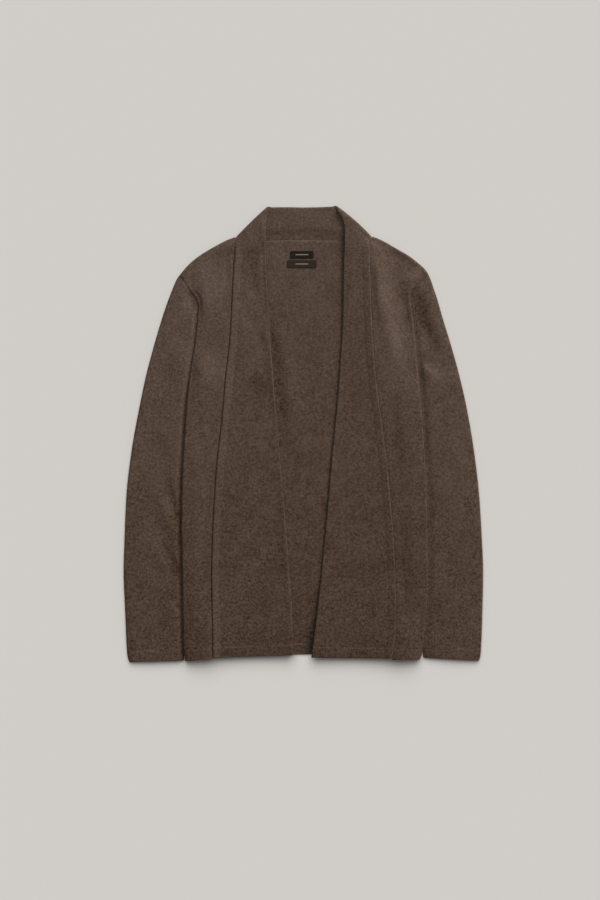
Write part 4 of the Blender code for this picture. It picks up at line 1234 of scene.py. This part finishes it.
# %% Height of the sleeves
BESIDE_BODY = {"left": 0.5, "right": 2.2}  # how far a sleeve stands up again beside the body
BESIDE_REACH = {"left": (9, 13), "right": (9, 10)}  # over this distance, high up and low down
BESIDE_RUN = 100  # it changes from the one to the other over this height
PRESSED = 1.5  # the body presses on the sleeve this far past its side
BULGE_START, BULGE_END = (0, 6), (8, 45)  # where the sleeve stands up and lies down again
ABOVE_BODY = (1, 12)  # the sleeve comes free over these heights above the underarm
TUCKED_SLACK = 0.1
DEEPEST_CREASE = 0.4  # below the height at which the sleeve is tucked
CALM_FOLD = (0.02, 0.16)  # creases build up over these shares of the width, from the outer fold
SLEEVE_UNEVEN = 0.3
CREASES["sleeve_left"] = strokes(
    (219, 257, 239, 203, 260, 131, 15.5, 5, -0.2, 0.2, 0.4),
    (188, 251, 203, 200, 224, 141, 11.2, -2.4, 0, 0.2, 0.4),
    (195, 121, 219, 104, 250, 79, 12.9, 3, -0.4, 0.3, 0.5),
    (220, 66, 243, 38, 267, 0, 15.5, -1, 0, 0.3, 0.5),
    (219, -62, 244, -96, 281, -122, 15.5, 1, 0, 0.4, 0.5),
    (212, -216, 236, -237, 267, -251, 13.8, -0.9, 0, 0.3, 0.5),
)
CREASES["sleeve_right"] = strokes(
    (241, -62, 227, -108, 210, -168, 8.6, -2.6, 0.2, 0.4, 0.15),
    (251, -175, 232, -208, 211, -251, 9.5, -2.6, 0.2, 0.4, 0.15),
    (232, -278, 220, -289, 210, -302, 7.7, -1.6, 0, 0.4, 0.1),
    (263, -62, 246, -113, 220, -182, 12, 1.5, 0, 0.4, 0.3),
    (266, -165, 249, -203, 222, -251, 12, 1.4, 0, 0.4, 0.3),
    (205, 251, 194, 234, 186, 210, 6.9, -1.6, 0, 0.3, 0.3),
    (229, 179, 218, 128, 218, 59, 13.8, 1, 0, 0.4, 0.5),
)
# Painted light and shade on the sleeves. Positive strokes paint the colour lighter, negative ones
# darker.
PAINTED_LIGHT_STROKES["sleeve_left"] = strokes(
    (188, 262, 193, 224, 208, 165, 12.9, -0.3, 0, 0.12, 0.3),
    (205, 255, 215, 196, 243, 117, 12.9, -0.22, 0, 0.12, 0.3),
    (198, 128, 219, 107, 243, 83, 12, 0.18, 0, 0.3, 0.4),
)
PAINTED_LIGHT_STROKES["sleeve_right"] = strokes(
    (241, -79, 227, -113, 210, -161, 7.7, -0.14, 0, 0.4, 0.2),
    (249, -179, 232, -209, 211, -247, 7.7, -0.1, 0, 0.4, 0.2),
    (211, -106, 222, -182, 217, -295, 11.2, -0.15, 0, 0.25, 0.3),
)


def sleeve_height(side, share, loft, x, y):
    """Top of a sleeve's upper layer, lower where the body's side lies on it or beside it."""
    full = lerp(SLEEVE_EDGE, SLEEVE_TUCKED + TUCKED_SLACK, share)
    full = full + loft * np.sin(math.pi * share)
    above = y - SIDE[side]["y"][0]
    low_down = ease(ABOVE_BODY[0] - above, 0, BESIDE_RUN)
    clear = x - look_up(SIDE[side], "x", y)
    free = ease(clear, PRESSED, lerp(*BESIDE_REACH[side], low_down))
    free = np.maximum(free, ease(above, *ABOVE_BODY))
    relief = crease_height(CREASES["sleeve_" + side], x, y)
    relief += SLEEVE_UNEVEN * unevenness(x, y, UNEVEN_SIZE, 31 + SIDES[side])
    full = full + relief * ease(share, *CALM_FOLD)
    bulge = ease(clear, *BULGE_START) * (1 - ease(clear, *BULGE_END))
    full += BESIDE_BODY[side] * bulge * low_down
    return lerp(SLEEVE_TUCKED, np.maximum(full, SLEEVE_TUCKED - DEEPEST_CREASE), free)


beside = np.array([-10.0, 5, 50]) + look_up(SIDE["left"], "x", -200)
heights = sleeve_height("left", np.array([0.9, 0.7, 0.5]), 1.5, beside, np.full(3, -200.0))
print("left sleeve under, beside and away from the body:", heights.round(1), "mm")

# %% [markdown]
# The skin of a sleeve runs down the outside, round the cuff's edge and back up the inside, so that
# the sleeve is open at both ends and has a real thickness. A single face with a Solidify modifier
# would also give it one, but with a square cuff.

# %% Sleeves
SLEEVE_TOP_COLUMNS, SLEEVE_UNDER_COLUMNS = 44, 20
FOLD_TURN = np.radians(np.linspace(-90, 90, 9))
ON_TOP = slice(len(FOLD_TURN), len(FOLD_TURN) + SLEEVE_TOP_COLUMNS)
CUFF_TURN = np.radians([35, 65, 90, 115, 145])
CUFF_ROUND, HOLE_ROUND = 1.0, 0.1  # how far out the edges of cuff and armhole are rounded


def sleeve_face(side, rings, inset):
    """One face of the flattened tube, and how far across it each of its points is."""
    outer, inner, _, loft = rings
    across = np.linalg.norm(inner - outer, axis=-1)
    near, far = SLEEVE_EDGE / 2, SLEEVE_TUCKED / 2
    top = np.linspace(0, 1, SLEEVE_TOP_COLUMNS + 2)[1:-1]
    under = np.linspace(1, 0, SLEEVE_UNDER_COLUMNS + 2)[1:-1]
    top, under = (lerp(near / across, 1 - far / across, share) for share in (top, under))
    outer_share = (near - (near - inset) * np.cos(FOLD_TURN)) / across
    inner_share = 1 - (far - (far - inset) * np.cos(FOLD_TURN[::-1])) / across
    share = np.concatenate([outer_share, top, inner_share, under], axis=1)
    x, y = np.moveaxis(sleeve_plan(side, rings, share), -1, 0)
    top_z = sleeve_height(side, top, loft, x[:, ON_TOP], y[:, ON_TOP]) - inset
    if not inset:
        top_z += hem_rise(y[:, ON_TOP] - y[-1:, ON_TOP])
    outer_z = np.tile(near + (near - inset) * np.sin(FOLD_TURN), (len(across), 1))
    inner_z = np.tile(far + (far - inset) * np.sin(FOLD_TURN[::-1]), (len(across), 1))
    z = np.concatenate([outer_z, top_z, inner_z, np.full(under.shape, float(inset))], axis=1)
    return np.stack([x, y, z], -1), share * across


def turned_rings(outer, inner, end, before, turns, size):
    """Rings round the edge of a tube, between the end rings of its outer and inner face."""
    middle, half = (outer[end] + inner[end]) / 2, (outer[end] - inner[end]) / 2
    run_on = outer[end, :, :2] - outer[before, :, :2]
    run_on /= np.linalg.norm(run_on, axis=1, keepdims=True)
    rings = []
    for angle in turns:
        ring = middle + half * math.cos(angle)
        ring[:, :2] += run_on * size * math.sin(angle)
        rings.append(ring)
    return rings


def make_sleeve(side):
    folds = sleeve_rings(side)
    outer, across = sleeve_face(side, folds, 0)
    inner, _ = sleeve_face(side, folds, KNIT)
    down = lengths(outer[..., :2].mean(axis=1))[:, None]
    threads = np.stack([across, np.tile(down, (1, across.shape[1]))], -1)
    hem_lines["sleeve_tube_" + side] = mirrored(outer[STITCH_ROW, ON_TOP], side)
    cuff = turned_rings(outer, inner, -1, -2, CUFF_TURN, CUFF_ROUND)
    hole = turned_rings(outer, inner, 0, 1, CUFF_TURN[::-1], HOLE_ROUND)
    rings = np.concatenate([outer, cuff, inner[::-1], hole])
    at_cuff = np.repeat(threads[-1:], len(cuff), axis=0)
    at_hole = np.repeat(threads[:1], len(hole), axis=0)
    threads = np.concatenate([threads, at_cuff, threads[::-1], at_hole])
    # Painted light and shade from the strokes.
    painted_light = crease_height(PAINTED_LIGHT_STROKES["sleeve_" + side], rings[..., 0], rings[..., 1])
    return skin("sleeve_tube_" + side, mirrored(rings, side), threads, painted_light, closed=True)


sleeves = {half: make_sleeve(half) for half in SIDES}
report(sleeves.values())

# %% [markdown]
# Two small woven labels are sewn inside the back neck. They could be a flat picture laid on the
# cloth, but their rounded corners and the thin shadow round them show even from far off. Each is a
# thin strip that follows the swell of the cloth under it. They carry no words, only one plain
# woven line.

# %% Labels
LABELS = {  # middle, width and height
    "label_upper": ((-2.5, 308.5), 40, 13),
    "label_lower": ((-2.5, 292.5), 51, 13.5),
}
LABEL_THICK, LABEL_EDGE = 0.9, 0.45  # and the share of it that is left at the edge
LABEL_GAP = 0.2  # between a label and the cloth
LABEL_UNEVEN, LABEL_UNEVEN_SIZE = 0.12, 16
LABEL_CORNER = 2.0
CORNER_STEPS = np.array([0, 0.25, 0.6, 1.1, 1.6, LABEL_CORNER])
LABEL_STEP, LABEL_SOFT = 1.5, (-0.4, 0.7)  # between columns, and over which its edge thickens
LEAST_CORNER = 0.02  # keeps the label's ends from closing to a point
HEIGHT_SHARES = np.concatenate([[0, 0.015, 0.05], np.linspace(0.1, 0.9, 9), [0.95, 0.985, 1]])


def make_label(name):
    (x0, y0), width, height = LABELS[name]
    x = np.concatenate([CORNER_STEPS, spaced(3, width - 3, LABEL_STEP), width - CORNER_STEPS[::-1]])
    corner = np.clip(LABEL_CORNER - np.minimum(x, width - x), 0, LABEL_CORNER)
    cut = LABEL_CORNER - np.sqrt(np.maximum(LABEL_CORNER**2 - corner**2, LEAST_CORNER))
    y = lerp((cut - height / 2)[:, None], (height / 2 - cut)[:, None], HEIGHT_SHARES)
    across = np.tile(x[:, None] - width / 2, (1, y.shape[1]))
    from_end = np.minimum(x, width - x)[:, None]
    edge = np.minimum(np.minimum(HEIGHT_SHARES, 1 - HEIGHT_SHARES) * height, from_end)
    base = KNIT + back_swell(across + x0, y + y0) + LABEL_GAP
    top = base + LABEL_THICK * lerp(LABEL_EDGE, 1, ease(edge, *LABEL_SOFT))
    top += LABEL_UNEVEN * unevenness(across, y, LABEL_UNEVEN_SIZE, 3)
    upper = np.stack([across + x0, y + y0, top], -1)
    lower = np.stack([across + x0, y + y0, base], -1)
    rings = np.concatenate([upper, lower[:, ::-1]], axis=1)
    return skin(name + "_woven", rings, rings[..., :2] - (x0, y0), np.zeros(rings.shape[:2]))


labels = {name: make_label(name) for name in LABELS}
report(labels.values())

# %% [markdown]
# The hem allowances are caught with one line of thread, a thicker thread runs along the neck seam,
# and the labels are sewn down at both ends. Each stitch is a short spindle that lies half sunk in
# the wool. A row of dashes in the material would be lighter to compute, but real shapes catch the
# light in the same way as the cloth around them.

# %% Stitches
HEM_THREAD = {"width": 0.9, "pitch": 4.4, "share": 0.66}  # share is how much of the pitch shows
NECK_THREAD = {"width": 1.5, "pitch": 3.0, "share": 0.9}
LABEL_THREAD = {"width": 0.6, "pitch": 2.2, "share": 0.66}
SPINDLE_TOP, SPINDLE_LOW = 0.55, 0.4  # its height over and under the cloth, in widths
SPINDLE = [(0, 2, 4), (2, 1, 4), (1, 3, 4), (3, 0, 4), (2, 0, 5), (1, 2, 5), (3, 1, 5), (0, 3, 5)]
LABEL_INSET = 1.6, 1.0  # the label's stitches are this far from its ends and its sides


def stitch_bodies(line, width, pitch, share):
    """Points and faces of the stitches along one line of places on the cloth."""
    runs = lengths(line)
    at = np.arange(pitch / 2, runs[-1] - pitch / 2, pitch)
    start, end = (
        np.stack([np.interp(at + way * pitch * share / 2, runs, line[:, k]) for k in range(3)], -1)
        for way in (-1, 1)
    )
    run = (end - start) / np.linalg.norm(end - start, axis=1, keepdims=True)
    side = np.stack([-run[:, 1], run[:, 0], np.zeros(len(run))], -1) * width / 2
    middle = (start + end) / 2
    top, low = middle + (0, 0, width * SPINDLE_TOP), middle - (0, 0, width * SPINDLE_LOW)
    points = np.stack([start, end, middle + side, middle - side, top, low], 1)
    faces = np.array(SPINDLE)[None] + points.shape[1] * np.arange(len(at))[:, None, None]
    return points.reshape(-1, 3), faces.reshape(-1, 3)


def make_stitches(name, lines, thread):
    points, faces, count = [], [], 0
    for line in lines:
        more, shape = stitch_bodies(line, **thread)
        points.append(more)
        faces.append(shape + count)
        count += len(more)
    points = np.concatenate(points)
    return piece_of_cloth(name, points, np.concatenate(faces), points[:, :2])


def label_ends(name):
    """The two lines along which a label is sewn down."""
    (x0, y0), width, height = LABELS[name]
    inset_x, inset_y = LABEL_INSET
    y = np.linspace(y0 - height / 2 + inset_y, y0 + height / 2 - inset_y, 9)
    lines = []
    for way in (-1, 1):
        x = np.full(len(y), x0 + way * (width / 2 - inset_x))
        z = KNIT + back_swell(x, y) + LABEL_GAP + LABEL_THICK
        lines.append(np.stack([x, y, z], -1))
    return lines


stitches = {}
for name, line in hem_lines.items():
    stitches[name] = make_stitches(name.replace("_panel", "") + "_hem_stitches", [line], HEM_THREAD)
for name in LABELS:
    stitches[name] = make_stitches(name + "_stitches", label_ends(name), LABEL_THREAD)
stitches["neck"] = make_stitches("neck_seam_stitches", neck_line, NECK_THREAD)
print(len(stitches), "lines of stitching")

# %% [markdown]
# A finish is a tree of nodes. Joining nodes by hand takes three lines each time, so a few helpers
# come first. Colours are noted as they look on a screen, from 0 to 255, and `linear` turns them
# into the amounts of light that the shader works with.

# %% Helpers for the finishes
def linear(colour):
    return [((c / 255 + 0.055) / 1.055) ** 2.4 if c > 10 else c / 255 / 12.92 for c in colour]


def start_material(name, **sockets):
    """A material, its tree and its shader, with values for the shader's own sockets."""
    material = bpy.data.materials.new(name)
    material.use_nodes = True
    tree = material.node_tree
    shader = tree.nodes["Principled BSDF"]
    for socket, value in sockets.items():
        shader.inputs[socket.replace("_", " ")].default_value = value
    return material, tree, shader


def link(tree, source, target):
    tree.links.new(source, target)


def maths(tree, operation, *values):
    """A Math node over sockets and plain numbers, and its result."""
    node = tree.nodes.new("ShaderNodeMath")
    node.operation = operation
    for socket, value in zip(node.inputs, values):
        if isinstance(value, bpy.types.NodeSocket):
            link(tree, value, socket)
        else:
            socket.default_value = value
    return node.outputs[0]


def times_plus(tree, value, factor, extra):
    """value * factor + extra."""
    return maths(tree, "ADD", maths(tree, "MULTIPLY", value, factor), extra)


def split(tree, place):
    """The X and Y of a place."""
    parts = tree.nodes.new("ShaderNodeSeparateXYZ")
    link(tree, place, parts.inputs[0])
    return parts.outputs["X"], parts.outputs["Y"]


def knit_places(tree):
    """Places in the knit, in metres along and across the threads."""
    node = tree.nodes.new("ShaderNodeUVMap")
    node.uv_map = "knit"
    return node.outputs["UV"]


def raise_surface(tree, shader, height, strength, distance):
    """Bump for what is too fine to be a shape."""
    bump = tree.nodes.new("ShaderNodeBump")
    bump.inputs["Strength"].default_value = strength
    bump.inputs["Distance"].default_value = distance
    link(tree, height, bump.inputs["Height"])
    link(tree, bump.outputs[0], shader.inputs["Normal"])


print("mid grey in light:", [round(value, 3) for value in linear((128, 128, 128))])

# %% [markdown]
# Felted wool is never one flat colour. Light and dark fibres are spun together, so the cloth has a
# fine fleck, and washing leaves larger soft patches. An image laid on the cloth could hold all of
# this, but it would repeat and be tied to one size. Noise at three sizes gives it instead. A faint
# pattern of knit stitches is raised through the felt, and a little sheen stands for the fibres
# that rise from the surface.

# %% Felted knit
FLECK = ((0.5, 32, 2), (1.9, 230, 3), (2.2, 640, 3))  # strength, scale and detail
FLECK_ROUGHNESS = 0.6
WALE, COURSE = 0.0026, 0.002  # width and height of a stitch, in metres
V_SLANT, LOOP_HEIGHT, LEG_HEIGHT = 1.3, 0.8, 2.2  # shape of a stitch
PAINTED_STITCH_HIGHLIGHT = 0.10  # how much lighter the tops of the stitches are painted, a painted highlight on their loops
MEAN_SHADE = 0.93
FUZZ, LUMPS = (900, 4, 0.65), (240, 2, 0.5)  # scale, detail and roughness
STITCH_RELIEF, LUMP_RELIEF, RELIEF_DEPTH = 0.55, 1.6, 0.0008
YARN_LEAN = (0.89, 1.05, 1.22)  # light yarn is greener and less red than dark yarn
SHEEN_COLOUR = (190, 160, 140)


def noise_at(tree, place, scale, detail, rough):
    """Noise with features about 1 / scale metres across, centred on zero."""
    node = tree.nodes.new("ShaderNodeTexNoise")
    for socket, value in (("Scale", scale), ("Detail", detail), ("Roughness", rough)):
        node.inputs[socket].default_value = value
    link(tree, place, node.inputs["Vector"])
    return maths(tree, "SUBTRACT", node.outputs["Fac"], 0.5)


def knit_pattern(tree):
    """Height of the knit's stitches: columns of small V shapes."""
    x, y = split(tree, knit_places(tree))
    across = maths(tree, "FRACT", maths(tree, "DIVIDE", x, WALE))
    from_middle = maths(tree, "ABSOLUTE", maths(tree, "SUBTRACT", across, 0.5))
    down = maths(tree, "DIVIDE", y, COURSE)
    loops = maths(tree, "PINGPONG", times_plus(tree, from_middle, V_SLANT, down), 0.5)
    leg = maths(tree, "PINGPONG", from_middle, 0.25)
    return times_plus(tree, loops, LOOP_HEIGHT, maths(tree, "MULTIPLY", leg, LEG_HEIGHT))


def felted_knit(name, colour, fade, relief=0.35):
    """Felted knit. fade: painted light, lighter by this much per metre towards the collar."""
    material, tree, shader = start_material(
        name, Roughness=0.95, Specular_IOR_Level=0.08, Sheen_Weight=0.1, Sheen_Roughness=0.6
    )
    shader.inputs["Sheen Tint"].default_value = (*linear(SHEEN_COLOUR), 1)
    place = tree.nodes.new("ShaderNodeTexCoord").outputs["Object"]
    shade = MEAN_SHADE
    for strength, scale, detail in FLECK:
        noise = noise_at(tree, place, scale, detail, FLECK_ROUGHNESS)
        shade = times_plus(tree, noise, strength, shade)
    # Painted light: the cloth is lighter towards the collar and darker towards the hem, as the
    # light falls off down its length.
    shade = times_plus(tree, split(tree, place)[1], fade, shade)
    stitch = knit_pattern(tree)
    # Painted highlight on the tops of the stitches.
    shade = times_plus(tree, stitch, PAINTED_STITCH_HIGHLIGHT, shade)
    # Painted light and shade: the painted_light attribute makes the colour lighter or darker at
    # each point.
    painted_light = tree.nodes.new("ShaderNodeAttribute")
    painted_light.attribute_name = "painted_light"
    shade = maths(tree, "ADD", shade, painted_light.outputs["Fac"])
    off_mean = maths(tree, "SUBTRACT", shade, 1)
    tint = tree.nodes.new("ShaderNodeCombineColor")
    for channel, share, lean in zip(("Red", "Green", "Blue"), linear(colour), YARN_LEAN):
        leaned = times_plus(tree, off_mean, lean, 1)
        link(tree, maths(tree, "MULTIPLY", leaned, share), tint.inputs[channel])
    link(tree, tint.outputs[0], shader.inputs["Base Color"])
    height = times_plus(tree, stitch, STITCH_RELIEF, noise_at(tree, place, *FUZZ))
    height = times_plus(tree, noise_at(tree, place, *LUMPS), LUMP_RELIEF, height)
    raise_surface(tree, shader, height, relief, RELIEF_DEPTH)
    return material


# Painted shade: each piece's copy of the finish is a shade lighter or darker for how it lies in the
# light.
FINISHES = {
    "front": felted_knit("felted_knit_front", (74.3, 60, 51), fade=0.6),
    "back": felted_knit("felted_knit_back", (72.2, 58.2, 49), fade=0.5),
    "band": felted_knit("double_knit_band", (73, 59, 49.7), fade=0.55, relief=0.45),
    "sleeve": felted_knit("felted_knit_sleeve", (76.4, 62.2, 53), fade=0.55),
}
print("knit finishes:", ", ".join(FINISHES))

# %% [markdown]
# The labels are woven in satin, which is smoother and darker than the wool. Where a real label has
# its words, these have one plain line in a lighter thread. It belongs to the weave, so it is part
# of the finish and not a shape. The sewing threads are so thin that a plain colour is enough.

# %% Woven satin and thread
LABEL_LINE = (124, 112, 96)
HALF_LINE = (0.011, 0.0008)  # half the length and half the width of the line, in metres
WEFT, WARP = 0.0009, 0.0006  # from one thread to the next
WEAVE_SHADE, WEAVE_MEAN = 0.5, 0.75
WEAVE_RELIEF, WEAVE_DEPTH = 0.4, 0.0002


def woven_satin(name, colour):
    """A tight satin weave with one plain line of lighter thread along its middle."""
    material, tree, shader = start_material(name, Roughness=0.75, Specular_IOR_Level=0.15)
    x, y = split(tree, knit_places(tree))
    weft = maths(tree, "PINGPONG", maths(tree, "DIVIDE", x, WEFT), 0.5)
    warp = maths(tree, "PINGPONG", maths(tree, "DIVIDE", y, WARP), 0.5)
    weave = maths(tree, "ADD", weft, warp)
    inside_x, inside_y = (
        maths(tree, "LESS_THAN", maths(tree, "ABSOLUTE", place), half)
        for place, half in zip((x, y), HALF_LINE)
    )
    mix = tree.nodes.new("ShaderNodeMix")
    mix.data_type = "RGBA"
    mix.inputs["A"].default_value = (*linear(colour), 1)
    mix.inputs["B"].default_value = (*linear(LABEL_LINE), 1)
    link(tree, maths(tree, "MULTIPLY", inside_x, inside_y), mix.inputs["Factor"])
    tint = tree.nodes.new("ShaderNodeVectorMath")
    tint.operation = "SCALE"
    link(tree, mix.outputs["Result"], tint.inputs[0])
    link(tree, times_plus(tree, weave, WEAVE_SHADE, WEAVE_MEAN), tint.inputs["Scale"])
    link(tree, tint.outputs[0], shader.inputs["Base Color"])
    raise_surface(tree, shader, weave, WEAVE_RELIEF, WEAVE_DEPTH)
    return material


def plain(name, colour, rough):
    material, _, shader = start_material(name, Roughness=rough, Specular_IOR_Level=0.1)
    shader.inputs["Base Color"].default_value = (*linear(colour), 1)
    return material


FINISHES["thread"] = plain("wool_thread", (96, 80, 69), 0.9)
FINISHES["neck_thread"] = plain("neck_seam_thread", (118, 101, 89), 0.9)
FINISHES["label_thread"] = plain("label_thread", (54, 43, 34), 0.8)
FINISHES["label_upper"] = woven_satin("woven_label_upper", (22, 15, 8))
FINISHES["label_lower"] = woven_satin("woven_label_lower", (38, 29, 22))
print("finishes:", ", ".join(FINISHES))

# %% [markdown]
# Fronts, back, band and sleeves get copies of one finish that differ by a shade. This is painted
# shade: each piece is painted as light or as dark as it looks where it lies in the light. One
# finish for all of them would be tidier, but those small steps in shade are what parts the pieces
# to the eye.

# %% Dress the pieces
def dress(piece, finish):
    piece.data.materials.append(FINISHES[finish])


groups = {"front": fronts, "band": bands, "sleeve": sleeves, "back": {"": back}}
for kind, group in groups.items():
    for piece in group.values():
        dress(piece, kind)
for name, piece in labels.items():
    dress(piece, name)
for name, piece in stitches.items():
    dress(piece, {"neck": "neck_thread"}.get(name, "label_thread" if name in LABELS else "thread"))
print("dressed pieces:", sum(len(group) for group in (*groups.values(), labels, stitches)))

# %% [markdown]
# Each piece now takes the place of its solid, which is hidden.
# Cloth that is turned, doubled or pressed flat as a tube covers far less table than its cut.


def stand_for(piece, node):
    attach(piece, "root")
    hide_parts(node)


for kind, group in groups.items():
    for half, piece in group.items():
        stand_for(piece, f"{kind}_{half}".strip("_"))
for name, piece in labels.items():
    stand_for(piece, name)
for piece in stitches.values():
    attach(piece, "root")

# %% [markdown]
# The table is a plain pale sheet, much larger than the view, so that its edges never show.

# %% Table
TABLE_SIZE = 8
bpy.ops.mesh.primitive_plane_add(size=TABLE_SIZE)
floor = bpy.context.object
floor.name = "floor"
floor.data.materials.append(plain("pale_table", (208, 204, 199), 0.9))
print("table:", TABLE_SIZE, "m square")

# %% [markdown]
# The light is that of a wide, soft window. A single lamp could give it, but wool drinks light and a
# pale table throws it back, so one strength never suits both. One wide soft sun therefore lights
# the table and makes the short soft shadows under the hems. A second, lower one lights the cloth
# and shows its folds, and a weak one from above and an even sky fill the rest.

# %% Light
def soft_sun(name, height, turn, angle, strength, lit):
    """A wide soft sun, height degrees up and turned from +Y towards +X, that lights some pieces."""
    data = bpy.data.lights.new(name, "SUN")
    data.energy = strength
    data.angle = math.radians(angle)
    sun = bpy.data.objects.new(name, data)
    bpy.context.collection.objects.link(sun)
    up, round_z = math.radians(height), math.radians(turn)
    level = math.cos(up)
    toward = Vector((math.sin(round_z) * level, math.cos(round_z) * level, math.sin(up)))
    sun.rotation_mode = "QUATERNION"
    sun.rotation_quaternion = (-toward).to_track_quat("-Z", "Y")
    group = bpy.data.collections.new(name + "_lights")
    for piece in lit:
        group.objects.link(piece)
    sun.light_linking.receiver_collection = group
    return sun


SKY = 0.24
cloth = [piece for group in (*groups.values(), labels, stitches) for piece in group.values()]
soft_sun("table_sun", height=50, turn=3, angle=62, strength=3.12, lit=[floor])
soft_sun("cloth_sun", height=26, turn=37, angle=32, strength=4.3, lit=cloth)
soft_sun("cloth_fill", height=90, turn=0, angle=50, strength=0.8, lit=cloth)

world = bpy.data.worlds.new("even_sky")
world.use_nodes = True
world.node_tree.nodes["Background"].inputs["Color"].default_value = (SKY, SKY, SKY, 1)
bpy.context.scene.world = world
bpy.context.scene.view_settings.view_transform = "Standard"
print("pieces lit by the cloth's own suns:", len(cloth))

# %% [markdown]
# The camera hangs far above the table and looks straight down through a long lens, as for a
# catalogue. A short lens close by would make the raised collar look larger than the hem.

# %% Camera
CAMERA_PLACE = (-0.0058, -0.0272, 4.3)
LENS = 100
camera_data = bpy.data.cameras.new("camera")
camera_data.lens = LENS
camera = bpy.data.objects.new("camera", camera_data)
camera.location = CAMERA_PLACE
bpy.context.collection.objects.link(camera)
bpy.context.scene.camera = camera
print("camera:", tuple(round(v, 3) for v in camera.location))
